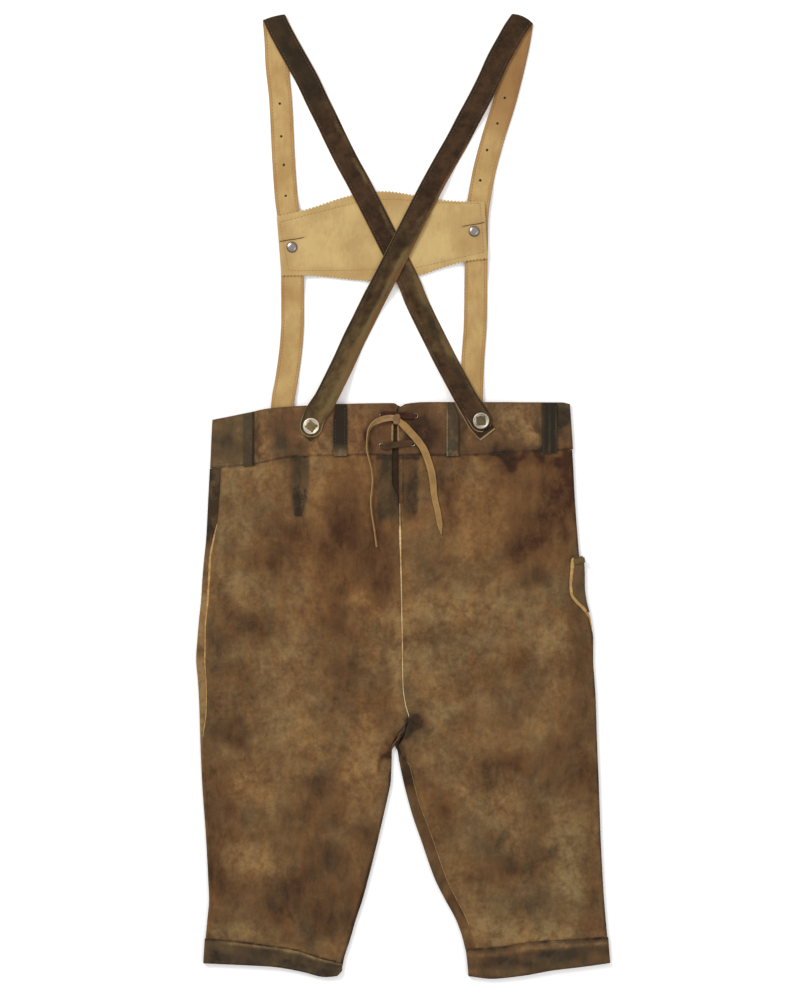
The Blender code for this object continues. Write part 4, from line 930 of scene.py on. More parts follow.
def front_panel(side):
    """Floor run, folds at the side and below the crotch at the inseam, and their top runs."""
    rows, dirt_and_shading = [], []
    for level in bordered(BAND_FOOT, CUFF_TOP, PANEL_ROWS):
        outer_tangent = outline_x(side, level) - side * (FOLD + SUEDE / 2)
        seam = side_seam_x(side, level) + side * BUTTED
        curl = curl_at(level)
        run = read(INSEAMS, level, column(side))
        turn = math.pi * FOLD
        lengths = [turn * k / 10 for k in range(1, 11)]
        lengths += [turn + run * share for share in (0.3, 0.6, 0.8, 0.92, 1)]
        reach = FOLD + SUEDE / 2
        if curl < math.pi / 2:
            reach = curled(lengths[-1], curl)[0] + SUEDE / 2 * math.sin(curl) + BUTTED
        inner_tangent = front_inner_x(side, level) + side * reach
        top = [(mix(seam, outer_tangent, share), TOP_MID) for share in (0, 0.08, 0.2, 0.4, 0.7)]
        outer = list(half_turn(outer_tangent, side, FLOOR_MID, 10))
        flat = [(x, FLOOR_MID) for x in steps(outer_tangent, inner_tangent, 7)]
        inner = []
        for length in lengths:
            out, high = curled(length, curl)
            inner.append((inner_tangent - side * out, FLOOR_MID + high))
        inseam = inner[-1][0]
        outline, inside = outline_x(side, level), inner_x(side, level)
        row, marked = [], []
        for x, z in top + outer[::-1] + flat + inner:
            y = row_y(side, level, x) + seam_step(level)
            if z == FLOOR_MID:
                z += raised(x, y)
            elif z > TOP_MID - 0.01:
                from_seam = min(abs(x - seam), abs(x - inseam), abs(level - BAND_FOOT),
                                abs(level - CUFF_TOP))
                flat_seam = quiet(side, abs(x - seam) < abs(x - inseam), level)
                dip = PRESSED_DIP if flat_seam else SEAM_DIP
                z += leather_height(x, y, from_seam, 0, dip)
            row.append(Vector((x, y, z)))
            marked.append(strip_shade(side, x, y, abs(x - outline), abs(x - inside)))
        rows.append(row)
        dirt_and_shading.append(marked)
    return sheet("front_panel_" + word(side), rows, SUEDE, dirt_and_shading)


def flap():
    """The drop front, hidden under the back."""
    rows = []
    for level in bordered(BAND_FOOT, FLAP_FOOT + 0.4, 40):
        half = read(FLAPS, level)
        row = []
        for x in steps(FLAP_MIDDLE - half, FLAP_MIDDLE + half, 30):
            y = row_y(1 if x > 0 else -1, level, x) + seam_step(level)
            row.append(Vector((x, y, FLOOR_MID + raised(x, y))))
        rows.append(row)
    return laid("flap", rows, SUEDE), rows


BAND_CREASES = (
    (12, 94, 35, 90.4, -0.7, 2), (8.4, 85.6, 32.4, 77.2, -0.7, 2), (10, 90, 34, 84, 0.5, 2.5),
    (134, 75, 169, 81, -0.5, 3), (150, 66, 163, 64, 0.5, 4), (-158, 90, -146, 58, -0.35, 4),
    (-44, 90, -38, 60, -0.4, 3), (-120, 80, -96, 60, 0.35, 6), (84, 84, 108, 62, 0.35, 6),
)
BAND_SWELLS = ((0.4, 42, 3.3), (0.22, 16, 6.1), (0.08, 7, 9.4))


def band_y(x, share):
    """Y at a share of the way down the waistband."""
    return mix(read(BAND_TOPS, x), read(BAND_FEET, x) + SEAM_STEP, share)


def band_height(x, y):
    """Height of the waistband's upper face, before its folds."""
    return BAND_TOP + BACK_SHARE * raised(x, y)


def waistband(side):
    """From the slit at the back, round the side, to the centre of the front."""
    rows, dirt_and_shading = [], []
    high = BAND_TOP_Y - BAND_FOOT
    for share in shares(high, 26):
        from_top, from_foot = share * high, (1 - share) * high
        middle = mix(BAND_TOP_Y, BAND_FOOT, share)
        edge = read(SIDES, mix(BAND_SIDE_TOP, BAND_SIDE_FOOT, share), column(side))
        tangent = edge - side * (FOLD + BAND / 2)
        slit = read(SLITS, middle) + side * read(SLITS, middle, 2)
        row = []
        for x in bordered(slit, tangent, 84):
            y = band_y(x, share)
            z = BAND_TOP_MID + BACK_SHARE * raised(x, y)
            still = ramp(abs(x - tangent), 0, 12) * ramp(from_top, -3, 9)
            z += (unevenness(x, y, BAND_SWELLS) + folds_at(x, y, BAND_CREASES)) * still
            z -= 0.8 * hump(from_foot, SEAM_REACH)
            z -= 0.55 * hump(min(from_top, abs(x - slit)), HEM_REACH)
            z -= 0.2 * hump(from_foot, 1.2, 5)
            z += 0.25 * unevenness(x, y, PUCKERS) * math.exp(-from_foot / 5)
            row.append(Vector((x, y, z)))
        for x, z in list(half_turn(tangent, side, BAND_FLOOR_MID))[-2::-1]:
            row.append(Vector((x, band_y(x, share), z)))
        for x in steps(tangent, FLAP_MIDDLE + side * SEAM_GAP, 40):
            y = band_y(x, share)
            row.append(Vector((x, y, BAND_FLOOR_MID + raised(x, y))))
        rows.append(row)
        dirt_and_shading.append([(seam_dirt(point.x, point.y, from_foot)
                      + 0.35 * seam_dirt(point.x, point.y, from_top), 0, 0) for point in row])
    return sheet("band_" + word(side), rows, BAND, dirt_and_shading)


LEG_SWELLS = ((0.3, 34, 2.6), (0.12, 12, 7.7))
# Pressed marks of the left cuff's lace holes: x, y
LACE_HOLES = ((-228.7, -539.6), (-228.7, -552.4))


def cuff_y(side, x, share):
    """Y at a share of the way down a cuff."""
    return mix(read(CUFF_TOPS[side], x) - SEAM_STEP, read(HEMS[side], x), share)


def cuff_shade(side, x, y, from_top, from_hem):
    """Cuffs are dark with grease, most of all at the hem and in the seam above them."""
    patchy = noise_at(x / 30, y / 9, side)
    shade = 0.35 + 0.35 * patchy + seam_dirt(x, y, from_top) + 0.8 * seam_dirt(x, y, from_hem)
    if side < 0:
        return shade + 0.3 * hump(from_top, 2.5, 7.5) * ramp(x, -175, -140)
    return shade + 0.4 * hump(from_top, 5, 10) * ramp(x, 85, 105) * ramp(x, 225, 205)


def fold_light(side, x, from_top):
    """Painted highlight where the cuffs' upper edges stand up.

    On the left cuff it is a thin line, on the right one a broad band.
    """
    if side < 0:
        return hump(from_top, 0.8, 2.3) * ramp(x, -226, -212)
    return 0.4 * hump(from_top, 1.8, 5)


def cuff(side):
    """A flattened ring between the leg's seam and the hem."""
    rows, dirt_and_shading = [], []
    reach = FOLD + BAND / 2
    for share in shares(CUFF_HIGH, 12):
        from_top, from_hem = share * CUFF_HIGH, (1 - share) * CUFF_HIGH
        level = mix(CUFF_TOP, CUFF_HEM, share)
        outer = read(SIDES, level, column(side)) - side * reach
        inner = read(INNERS, level - CUFF_INNER_DROP, column(side)) + side * reach
        inner += side * 3.4 * (1 - share) if side < 0 else 0
        top = [(x, BAND_TOP_MID) for x in steps(inner, outer, 60)]
        outer_fold = list(half_turn(outer, side, BAND_FLOOR_MID))[-2::-1]
        floor = [(x, BAND_FLOOR_MID) for x in steps(outer, inner, 40)]
        inner_fold = list(half_turn(inner, -side, BAND_FLOOR_MID))
        row = []
        for x, z in top + outer_fold + floor + inner_fold:
            y = cuff_y(side, x, share)
            if z > BAND_TOP_MID - 0.01:
                still = ramp(min(abs(x - inner), abs(x - outer)), 0, 6)
                z += unevenness(x, y, LEG_SWELLS) * still
                z -= 0.8 * hump(from_top, SEAM_REACH) * still
                z -= 0.5 * hump(from_hem, HEM_REACH) * still
                z += 0.3 * unevenness(x, y, PUCKERS) * math.exp(-from_top / 4) * still
                if side < 0:
                    for hole_x, hole_y in LACE_HOLES:
                        off = ((x - hole_x) / 2.6) ** 2 + ((y - hole_y) / 1.5) ** 2
                        z -= 1.1 * math.exp(-off * off)
            row.append(Vector((x, y, z)))
        rows.append(row)
        dirt_and_shading.append([(cuff_shade(side, point.x, point.y, from_top, from_hem), 0.25 * side - 0.4,
                      1.5 * fold_light(side, point.x, from_top)) for point in row])
    return sheet("leg_cuff_" + word(side), rows, BAND, dirt_and_shading, ring=True)


def slit_gusset():
    """The leather seen in the slit, with a soft ridge along it."""
    rows = []
    for y in bordered(98, -62, 40):
        row = []
        for x in steps(-30, 14, 16):
            bulge = 0.5 * hump(x, 3, -8) * ramp(y, -30, 0)
            row.append(Vector((x, y, 2.9 + bulge + unevenness(x, y, ((0.1, 9, 4.4),)))))
        rows.append(row)
    return laid("slit_gusset", rows, 1.1), rows


def loop_shade(number, place, share):
    """How dark and how rubbed a belt loop is across and down it.

    The dark right edges of loops 1 and 3 are painted shade, loop 3's pale left edge a painted
    highlight.
    """
    if number == 1:
        return 0.3 + 0.9 * ramp(place, 0.75, 0.95), 0
    if number == 2:
        return 0.25 + 0.85 * ramp(share, 0.9, 0.72), 0.3 * ramp(share, 0.8, 0.95)
    if number == 3:
        worn = 0.45 * ramp(share, 0.84, 0.95) + 0.15 * ramp(share, 0.5, 0.7)
        return (0.15 + 0.5 * ramp(share, 0.3, 0) + 0.7 * ramp(place, 0.84, 0.95),
                worn + 1.2 * ramp(place, 0.1, 0.03))
    middle = hump(place, 0.05, 0.53)
    return (1.0 - 0.5 * middle - 0.5 * ramp(place, 0.84, 0.94) - 0.35 * ramp(place, 0.25, 0.05),
            0.4 * middle)


def belt_loop(number):
    """A loop flat on the band, its upper corners cut and its sides sewn down."""
    x_mid, width, below, cut_left, cut_right = LOOPS[number - 1]
    rows, marks = [], []
    for share in shares(LOOP_HIGH, 30):
        cut = max(1 - share / LOOP_CUT, 0)
        left = x_mid - width / 2 + cut_left * cut
        right = x_mid + width / 2 - cut_right * cut
        row, marked = [], []
        for place in (0, 0.04, 0.1, 0.17, 0.26, 0.38, 0.5, 0.62, 0.74, 0.83, 0.9, 0.96, 1):
            x = mix(left, right, place)
            y = mix(read(BAND_TOPS, x) - LOOP_INSET, read(BAND_FEET, x) - below, share)
            z = band_height(x, y) + LOOP_GAP + TRIM / 2
            ends = min(share, 1 - share) * LOOP_HIGH
            from_side = min(place, 1 - place) * width
            z += 0.3 * ramp(ends, 2, 20) + 0.6 * unevenness(x, y, BAND_SWELLS)
            z += 0.12 * math.sin(math.pi * place)
            z -= 0.35 * hump(ends, 1.6)
            z -= 0.22 * hump(from_side, 0.8, LOOP_SEWN)
            row.append(Vector((x, y, z)))
            # loops 1 and 3: painted shade on the right edge; loop 3: painted highlight on the left
            # edge
            darkened, rubbed = loop_shade(number, place, share)
            marked.append((darkened, 0, rubbed))
        rows.append(row)
        marks.append(marked)
    return laid("loop_%d" % number, rows, TRIM, np.array(marks)), rows


def slit_edge(side):
    """The pale cut edge of the slit, turned in against the gusset."""
    line = []
    for y in steps(88, 65, 24):
        x = read(SLITS, y) + side * (read(SLITS, y, 2) - 0.25)
        line.append((x, y))
    return welt("slit_edge_" + word(side), line, 2.6 if side < 0 else 2.4, lambda x, y: 4.9,
                ends=3)


# ---------------------------------------------------------------- knife pocket

def pouch():
    """Over the panel, and round the fold at the side, with its mouth standing out."""
    rows = []
    for y in bordered(POCKETS[0][0], POCKETS[-1][0], 24):
        inner = read(POCKETS, y)
        centre = read(SIDES, y, 2) - PANEL_TOP / 2 + read(POCKETS, y, 2)
        row = []
        for share in (0, 0.05, 0.12, 0.2, 0.3, 0.42, 0.55, 0.68, 0.8, 0.9, 1):
            x = mix(inner, centre, share)
            z = PANEL_TOP / 2 + POCKET_RADIUS + unevenness(x, y, ((0.3, 12, 1.3),))
            row.append(Vector((x, y, z - 0.3 * hump(x - inner, 1.2))))
        for k in range(1, 15):
            angle = math.radians(90 - POCKET_TURN * k / 14)
            row.append(Vector((centre + POCKET_RADIUS * math.cos(angle), y,
                               PANEL_TOP / 2 + POCKET_RADIUS * math.sin(angle))))
        rows.append(row)
    return laid("pocket_pouch", rows, TRIM, stained_and_shaded(rows)), rows


# ---------------------------------------------------------------- straps

def travel_at(table, y):
    """The direction of a strap's middle line."""
    y = max(y, min(table)[0] + 2)
    rise = read(table, y + 2) - read(table, y - 2)
    return Vector((rise, 4, 0)).normalized()


def cross_line(centre, travel, crease, share, half):
    """Places across a strap; share turns the line towards the crease."""
    square = Vector((travel.y, -travel.x, 0))
    line = square.lerp(crease, share).normalized()
    reach = half / line.dot(square)
    return [centre + line * reach * place for place in ACROSS]


def settle_row(row, bow, share, heights, y):
    """Put a strap's row at its height, and bow it near the fold."""
    for point, out in zip(row, bow):
        point.z = read(heights, mix(point.y, y, share))
        point += out * share


def strap_rows(side, half, lining):
    """Middle of a shoulder strap: up the back, round the fold and down the front.

    Each row comes with its points' distances from the middle line and from the edge.  The
    outer layer starts with a round end about its button, and the lining with a cut end.
    """
    x, y, turn = SHOULDERS[side]
    turn = math.radians(turn)
    crease = Vector((math.cos(turn), math.sin(turn), 0))
    normal = Vector((-math.sin(turn), math.cos(turn), 0))
    tangent = Vector((x, y, 0)) - normal * (LOOP + STRAP / 2)
    bow = [normal * BOWS[side] * (1 - place * place) for place in ACROSS]
    rear = REAR[side] + ((tangent.y, tangent.x),)
    rows = []
    if lining:
        levels = steps(min(rear)[0], 84, 12) + steps(84, tangent.y, 200)[1:]
    else:
        at = Vector((*BUTTONS[-side][:2], 0))
        travel = travel_at(rear, at.y)
        aside = at - Vector((read(rear, at.y), at.y, 0))
        aside -= travel * aside.dot(travel)
        levels = [at.y - half * math.cos(math.pi / 2 * k / ROUND_ROWS) * travel.y
                  for k in range(1, ROUND_ROWS + 1)]
        levels += steps(at.y, tangent.y, 205)[1:]
    for y in levels:
        centre = Vector((read(rear, y), y, 0))
        share = ramp(y, tangent.y - CREASE_REACH, tangent.y)
        below = 0
        if lining:
            reach = half * read(ENDS[side], y)
        else:
            centre += aside * ramp(y, at.y + 34, at.y)
            below = max((at - centre).dot(travel), 0)
            reach = math.sqrt(max(half * half - below * below, 0.2))
        row = cross_line(centre, travel_at(rear, min(y, tangent.y - 2)), crease, share, reach)
        settle_row(row, bow, share, REAR_HEIGHTS[side], y)
        marks = []
        for point, place in zip(row, ACROSS):
            inset = reach * (1 - abs(place))
            if below:
                inset = half - (Vector((point.x, point.y, 0)) - at).length
            marks.append((reach * place, max(inset, 0)))
        rows.append((row, marks))
    travel = travel_at(rear, tangent.y - 2)
    drift = travel.dot(crease) / travel.dot(normal)
    reach = half / Vector((travel.y, -travel.x, 0)).dot(crease)
    marks = [(half * place, half * (1 - abs(place))) for place in ACROSS]
    for k in range(1, 17):
        angle = math.pi * k / 16
        centre = tangent + normal * LOOP * math.sin(angle) + crease * drift * LOOP * angle
        centre.z = STRAP / 2 + LOOP + LOOP * math.cos(angle)
        rows.append(([centre + crease * reach * place + out
                      for place, out in zip(ACROSS, bow)], marks))
    start = tangent + crease * drift * LOOP * math.pi
    front = ((start.y, start.x),) + FRONT[side]
    for y in steps(start.y, min(front)[0], 190)[1:]:
        centre = Vector((read(front, y), y, 0))
        share = ramp(y, start.y - CREASE_REACH, start.y)
        row = cross_line(centre, travel_at(front, min(y, start.y - 2)), crease, share, half)
        settle_row(row, bow, share, FRONT_HEIGHTS[side], y)
        rows.append((row, marks))
    return rows


def facing(points):
    """Normals of a grid of points, up on a strap's rear run."""
    grid = np.array([[tuple(point) for point in row] for row in points])
    cross = np.cross(np.gradient(grid, axis=1), np.gradient(grid, axis=0))
    return cross / np.linalg.norm(cross, axis=2, keepdims=True)


def between(row, place):
    """A (point, normal) pair at a share across a strap's row."""
    i = min(bisect_right(ACROSS, place), len(ACROSS) - 1)
    t = (place - ACROSS[i - 1]) / (ACROSS[i] - ACROSS[i - 1])
    return row[i - 1][0].lerp(row[i][0], t), row[i - 1][1].lerp(row[i][1], t)


def strap_layer(side, lining):
    """One of a strap's two layers, and the line of its sewing beside each edge."""
    half = LINING_HALF if lining else OUTER_HALF
    laid_rows = strap_rows(side, half, lining)
    points = [line for line, _ in laid_rows]
    normals = facing(points)
    way = -1 if lining else 1
    rows, marks, surface = [], [], []
    run = 0.0
    middle = ACROSS.index(0)
    for i, (row, places) in enumerate(laid_rows):
        run += (row[middle] - points[i - 1][middle]).length if i else 0
        moved, marked, tops = [], [], []
        for point, normal, (aside, inset) in zip(row, normals[i], places):
            normal = Vector(normal)
            sewn = hump(inset - half + SEWN_AT, 0.75)
            low = 0.2 * sewn + 0.2 * hump(inset, 0.7)
            uneven = noise_at(aside / 9, run / 26, side * 3 + way)
            lift = LAYER_MID - low + 0.1 * uneven
            moved.append(point + normal * way * lift)
            tops.append((moved[-1] + normal * way * LAYER / 2, normal * way))
            marked.append(strap_marks(side, lining, aside, inset, run, uneven))
        rows.append(moved)
        marks.append(marked)
        surface.append(tops)
    name = "strap_" + word(side) + ("_lining" if lining else "_outer")
    sewing = [[between(row, place) for row in surface[ROUND_ROWS:]]
              for place in (-SEWN_AT / half, SEWN_AT / half)]
    piece = laid(name, rows, LAYER, np.array(marks), ease=0.18)
    if lining:
        # Where its end shows past the outer layer's, its upper side is dark
        for face in piece.data.polygons:
            if face.normal.z > 0.3 and face.center.y < 0.12 and face.center.z > 0.008:
                face.material_index = 1
    return piece, rows, sewing


def strap_marks(side, lining, aside, inset, run, uneven):
    """Wear of a strap: the outer side is paler along its right edge and at its end."""
    patch = noise_at(aside / 14, run / 40, side * 5.0)
    fine = noise_at(aside / 5, run / 12, side * 2.0)
    if lining:
        edge = hump(inset, 2.6)
        cut = hump(inset, 0.9) * ramp(run, 90, 60)
        if side < 0:
            cut = max(2.0 * cut * ramp(aside, 6, -6), 1.8 * ramp(run, 2.6, 1.2))
        shoulder = ramp(run, 540, 590) * ramp(run, 740, 660) if side > 0 else 0
        # rim: the linings' edges darkened, partly their cut edge and partly painted shade beside
        # it
        rim = 0.5 * hump(inset, 0.7)
        return (0.2 * max(patch, 0) + 0.2 * max(fine, 0) + 0.5 * shoulder + rim,
                0.6 * edge + 0.2 * patch + 0.6 * shoulder, 1.5 * cut if side > 0 else cut)
    end = hump(inset, 0.8) * ramp(run, 30, 18)
    if side < 0:
        right = hump(aside, 3.6, 9) * (0.8 + 0.9 * patch) * ramp(run, 470, 390)
        right *= 0.45 + 0.55 * ramp(run, 25, 110) - 0.45 * ramp(run, 200, 270)
        worn = 0.34 * ramp(run, 70, 110) * ramp(run, 250, 190)
        pale = min(max(right + worn + 0.3 * fine, 0), 1) + 2.0 * end * ramp(aside, 10, 5)
        return 0.6 * max(-patch, 0) + 0.5 * ramp(run, 400, 480), 0.2 + uneven, pale
    right = hump(aside, 1.5, 12.5) * (0.6 + 0.9 * patch) * ramp(run, 20, 90)
    right *= 1 - 0.8 * ramp(run, 390, 440)
    stripe = hump(aside, 3, 7.5) * (0.6 + patch) * ramp(run, 330, 250)
    left = hump(aside, 2.4, -12) * (0.8 + 0.6 * patch)
    worn = 0.3 * ramp(run, 330, 260) + 0.22 * ramp(run, 190, 120)
    pale = min(max(right + stripe + worn + 0.25 * fine, 0), 1) + 1.3 * end
    return 0.4 * max(-patch, 0) + left, 0.1 + 1.2 * right + uneven, pale


def punched(side, top_at):
    """Dark discs at a front run's punched holes, for the buttonhole: painted shade in the holes.
    """
    made = bmesh.new()
    for x, y in PUNCHED[side]:
        spot = Vector((x, y, top_at(x, y) - 0.05)) * MM
        bmesh.ops.create_cone(made, cap_ends=True, segments=20, radius1=1.75 * MM,
                              radius2=1.5 * MM, depth=0.3 * MM, matrix=Matrix.Translation(spot))
    return settle(put("strap_holes_" + word(side), made))


# ---------------------------------------------------------------- chest piece

def to_line(x, y, line):
    """Distance of a place from a line of points."""
    return min(math.hypot(*off_line(x, y, *a, *b)) for a, b in zip(line, line[1:]))


def backing_height(x):
    """Height of the backing's middle, raised where it crosses the front runs."""
    return BACKING_MID + BACKING_RISE * rise_over(BACKING_RISES, x)


def chest_row(share, inset, count):
    """Points (x, y) across the chest piece at a share of its height."""
    left = mix(CHEST_ENDS[0][0], CHEST_ENDS[0][1], share) + inset
    right = mix(CHEST_ENDS[1][0], CHEST_ENDS[1][1], share) - inset
    row = []
    for x in steps(left, right, count):
        row.append((x, mix(read(CHEST_FEET, x) + inset, read(CHEST_TOPS, x) - inset, share)))
    return row


def chest_outer():
    """The layer under the backing, plain because it doesn't show."""
    rows = [[Vector((x, y, FLOOR_MID)) for x, y in chest_row(share, CHEST_FRONT_INSET, 60)]
            for share in steps(0, 1, 24)]
    return laid("chest_outer", rows, SUEDE), rows


def chest_lining():
    """The backing, with pinked edges and dips along its seam and its two cuts."""
    rows = []
    for share in shares(CHEST_HIGH, 40):
        row = []
        for i, (x, y) in enumerate(chest_row(share, BACKING_INSET, 2 * TEETH)):
            tooth = TOOTH * (i % 2)
            if share == 0:
                y -= tooth
            elif share == 1:
                y += tooth
            z = backing_height(x)
            z += folds_at(x, y, CHEST_FOLDS) + unevenness(x, y, CHEST_SWELLS)
            z -= 0.35 * hump(to_line(x, y, CHEST_SEAM), 1.1)
            for slit in CHEST_SLITS:
                z -= 0.45 * hump(to_line(x, y, slit), 0.9)
            row.append(Vector((x, y, z)))
        rows.append(row)
    marks = stained_and_shaded(rows, CHEST_STAINS, 4)
    # painted shade beside the two cuts
    marks[:, :, 0] += [[0.35 * hump(min(to_line(point.x, point.y, slit) for slit in CHEST_SLITS),
                                    1.5) for point in row] for row in rows]
    return laid("chest_lining", rows, BACKING, marks, ease=0.15), rows


# ---------------------------------------------------------------- metal

def snap_cap(side):
    """A press stud's domed cap, darker round its edge as a painted reflection."""
    x, y = SNAPS[side]
    section = rounded([(0, 0), (6.2, 0), (6.5, 0.35), (6.45, 0.9), (5.6, 1.8), (3.2, 2.6),
                       (0, 2.85)], 0.8)
    base = backing_height(x) + BACKING / 2 + GAP - 0.25
    return turned("snap_cap_" + word(side), section, x, y, base, 64, tarnish_and_reflection=(4.2, 6.2))


def button_base():
    """Height of the upper face of the rear straps' ends."""
    return REAR_HEIGHTS[-1][-1][1] + STRAP / 2 + GAP


def button_disc(side):
    """A dished disc with a raised rim and a rolled edge."""
    x, y, _ = BUTTONS[side]
    section = rounded([(0, 0), (8.0, 0), (9.3, 0.5), (9.85, 1.3), (9.6, 2.05), (9.0, 2.4),
                       (8.3, 2.3), (7.4, 1.7), (6.2, 1.3), (5.6, 1.32), (5.3, 1.1), (0, 1.05)],
                      0.5)
    return turned("button_disc_" + word(side), section, x, y, button_base(), 72)


def about(x, y, turn, u, v):
    """A place (u, v) in a small piece that lies turned about (x, y)."""
    c, s = math.cos(math.radians(turn)), math.sin(math.radians(turn))
    return x + u * c - v * s, y + u * s + v * c


def turned_square(x, y, turn, half_x, half_y, corner=1.1):
    """Outline of a small rounded rectangle, cut a little unevenly."""
    points = []
    for k, (sign_x, sign_y) in enumerate(((1, 1), (-1, 1), (-1, -1), (1, -1))):
        for a in [math.pi / 2 * (k + step / 5) for step in range(6)]:
            u = sign_x * (half_x - corner) + corner * math.cos(a)
            v = sign_y * (half_y - corner) + corner * math.sin(a)
            points.append(about(x, y, turn, u * (1 + 0.02 * math.sin(3 * a + x)), v))
    return points


def button_lace(side):
    """The square of lace that holds a button on, and the two holes that it goes into.

    The holes are dark caps: painted shade.
    """
    x, y, turn = BUTTONS[side]
    base = button_base() + 1.25 + GAP
    lace = outlined("button_lace_" + word(side), turned_square(x, y, turn, 5.0, 4.9), 1.15, base,
                    0.45)
    section = rounded([(0, 0), (0.95, 0), (1.05, 0.3), (0.9, 0.42), (0, 0.34)], 0.2, 2)
    holes = [turned("button_hole_shade_%s_%d" % (word(side), k), section, *about(x, y, turn, u, v),
                    base + 0.85, 16) for k, (u, v) in enumerate(BUTTON_HOLES[side], 1)]
    return lace, holes


def hidden_button(side):
    """A button at the front, under the trousers."""
    x, y = FRONT_BUTTONS[side]
    section = rounded([(0, 0), (8.8, 0), (9.4, 0.6), (9.2, 1.5), (8.2, 1.75), (6.6, 1.35),
                       (0, 1.3)], 0.4)
    return turned("hidden_button_" + word(side), section, x, y, 0, 48)


def eyelet_ring(number):
    """A rolled ring on the waistband."""
    x, y = EYELETS[number - 1]
    section = [(1.9, 0.05)] + [(2.65 + 0.75 * math.cos(a), 0.28 + 0.62 * math.sin(a))
                               for a in steps(math.pi, 0, 10)] + [(3.4, 0)]
    return turned("eyelet_ring_%d" % number, section, x, y, band_height(x, y) + GAP, 40,
                  ring=True)


# ---------------------------------------------------------------- lace

def smooth(route):
    """A route's points on one smooth curve, with more between each pair."""
    last = len(route) - 1
    points = [Vector(place) for place in route]
    dense = []
    for i in range(last):
        a, b = points[max(i - 1, 0)], points[i]
        c, d = points[i + 1], points[min(i + 2, last)]
        for t in [k / 6 for k in range(6)]:
            dense.append(0.5 * (2 * b + (c - a) * t + (2 * a - 5 * b + 4 * c - d) * t * t
                                + (3 * b - a - 3 * c + d) * t ** 3))
    return dense + [points[-1]]


def lace_strip(name, route, width_at, seed):
    """A flat leather lace on a route (x, y, z, lean), with a slightly hollow face."""
    across = (-1, -0.9, -0.7, -0.35, 0, 0.35, 0.7, 0.9, 1)
    rows, marks = [], []
    run = 0.0
    for i, place in enumerate(route):
        before = route[max(i - 1, 0)]
        after = route[min(i + 1, len(route) - 1)]
        run += (place.xyz - before.xyz).length
        along = Vector((after.x - before.x, after.y - before.y)).normalized()
        lean = math.radians(place.w)
        aside = Vector((along.y * math.cos(lean), -along.x * math.cos(lean), math.sin(lean)))
        up = Vector((-along.y * math.sin(lean), along.x * math.sin(lean), math.cos(lean)))
        half = width_at(run) / 2
        half *= 1 + 0.05 * noise_at(run / 7, seed, 0)
        row, marked = [], []
        for share in across:
            hollow = 0.16 * (share * share - 0.4) + 0.1 * noise_at(run / 9, share, seed)
            row.append(place.xyz + aside * half * share + up * hollow)
            patch = noise_at(run / 13, share * 0.8, seed + 4)
            marked.append((max(patch, 0) * 0.7, 0.2, max(-patch, 0) * 0.7
                           + 0.35 * ramp(abs(share), 0.6, 1)))
        rows.append(row)
        marks.append(marked)
    return laid(name, rows, LACE, np.array(marks), ease=0.28)


def lace_tail(side):
    """A free end of the lace, cut to a point."""
    route = smooth(LACE_ENDS[side])
    length = sum((b.xyz - a.xyz).length for a, b in zip(route, route[1:]))

    def width_at(run):
        left = length - run
        if side < 0:
            width = LACE_WIDTH * mix(0.45, 0.62, ramp(left, 0, 80))
            return width * mix(1.35, 1, ramp(run, 14, 50))
        width = LACE_WIDTH * mix(0.78, 0.96, ramp(left, 20, 90))
        return width * min(0.1 + 0.9 * left / 13, 1) * mix(0.8, 1.04, ramp(run, 0, 10))

    piece = lace_strip("lace_tail_" + word(side), route, width_at, side * 2.5)
    round(length * MM, 3)
    return piece


def lace_crossing(name, start, end, sag):
    """From one eyelet over to the other, going down into each."""
    (x0, y0), (x1, y1) = start, end
    route = []
    for share in steps(0, 1, 30):
        from_end = min(share, 1 - share) * (x1 - x0)
        z = OVER_EYELET - sag * math.sin(math.pi * share) - 0.9 * ramp(from_end, 2.4, 0)
        route.append(Vector((mix(x0, x1, share), mix(y0, y1, share), z, 0)))

    def width_at(run):
        from_end = min(run, abs(x1 - x0) - run)
        return LACE_WIDTH * mix(0.42, 0.86, ramp(from_end, -0.5, 6))

    return lace_strip(name, route, width_at, y0 / 10)


def knot_wrap():
    """The turn of lace pulled tight round the upper crossing."""
    made = bmesh.new()
    bmesh.ops.create_uvsphere(made, u_segments=72, v_segments=44, radius=1)
    middle = OVER_EYELET + LACE / 2 + GAP + 2.3
    for vert in made.verts:
        x, y, z = (math.copysign(abs(c) ** 0.8, c) for c in vert.co)
        pull = 1 - 0.14 * hump(y, 0.35)
        groove = 0.4 * hump(x - 0.28 * math.sin(1.2 * y), 0.13) * max(z, 0)
        rough = noise_at(x * 2, y * 2, z * 2) * 0.22
        vert.co = ((KNOT[0] + (4.5 * pull + rough) * x + 0.7 * y) * MM, (KNOT[1] + 6.3 * y) * MM,
                   (middle + (2.25 + rough) * z - groove) * MM)
    return settle(put("lace_knot_wrap", made))


# ---------------------------------------------------------------- sewing

def spaced(points, pitch):
    """Even places along a line: which stretch each is in, and its share of the stretch."""
    left = pitch / 2
    for i, (a, b) in enumerate(zip(points, points[1:])):
        span = (b - a).length
        while left <= span:
            yield i, left / span
            left += pitch
        left -= span


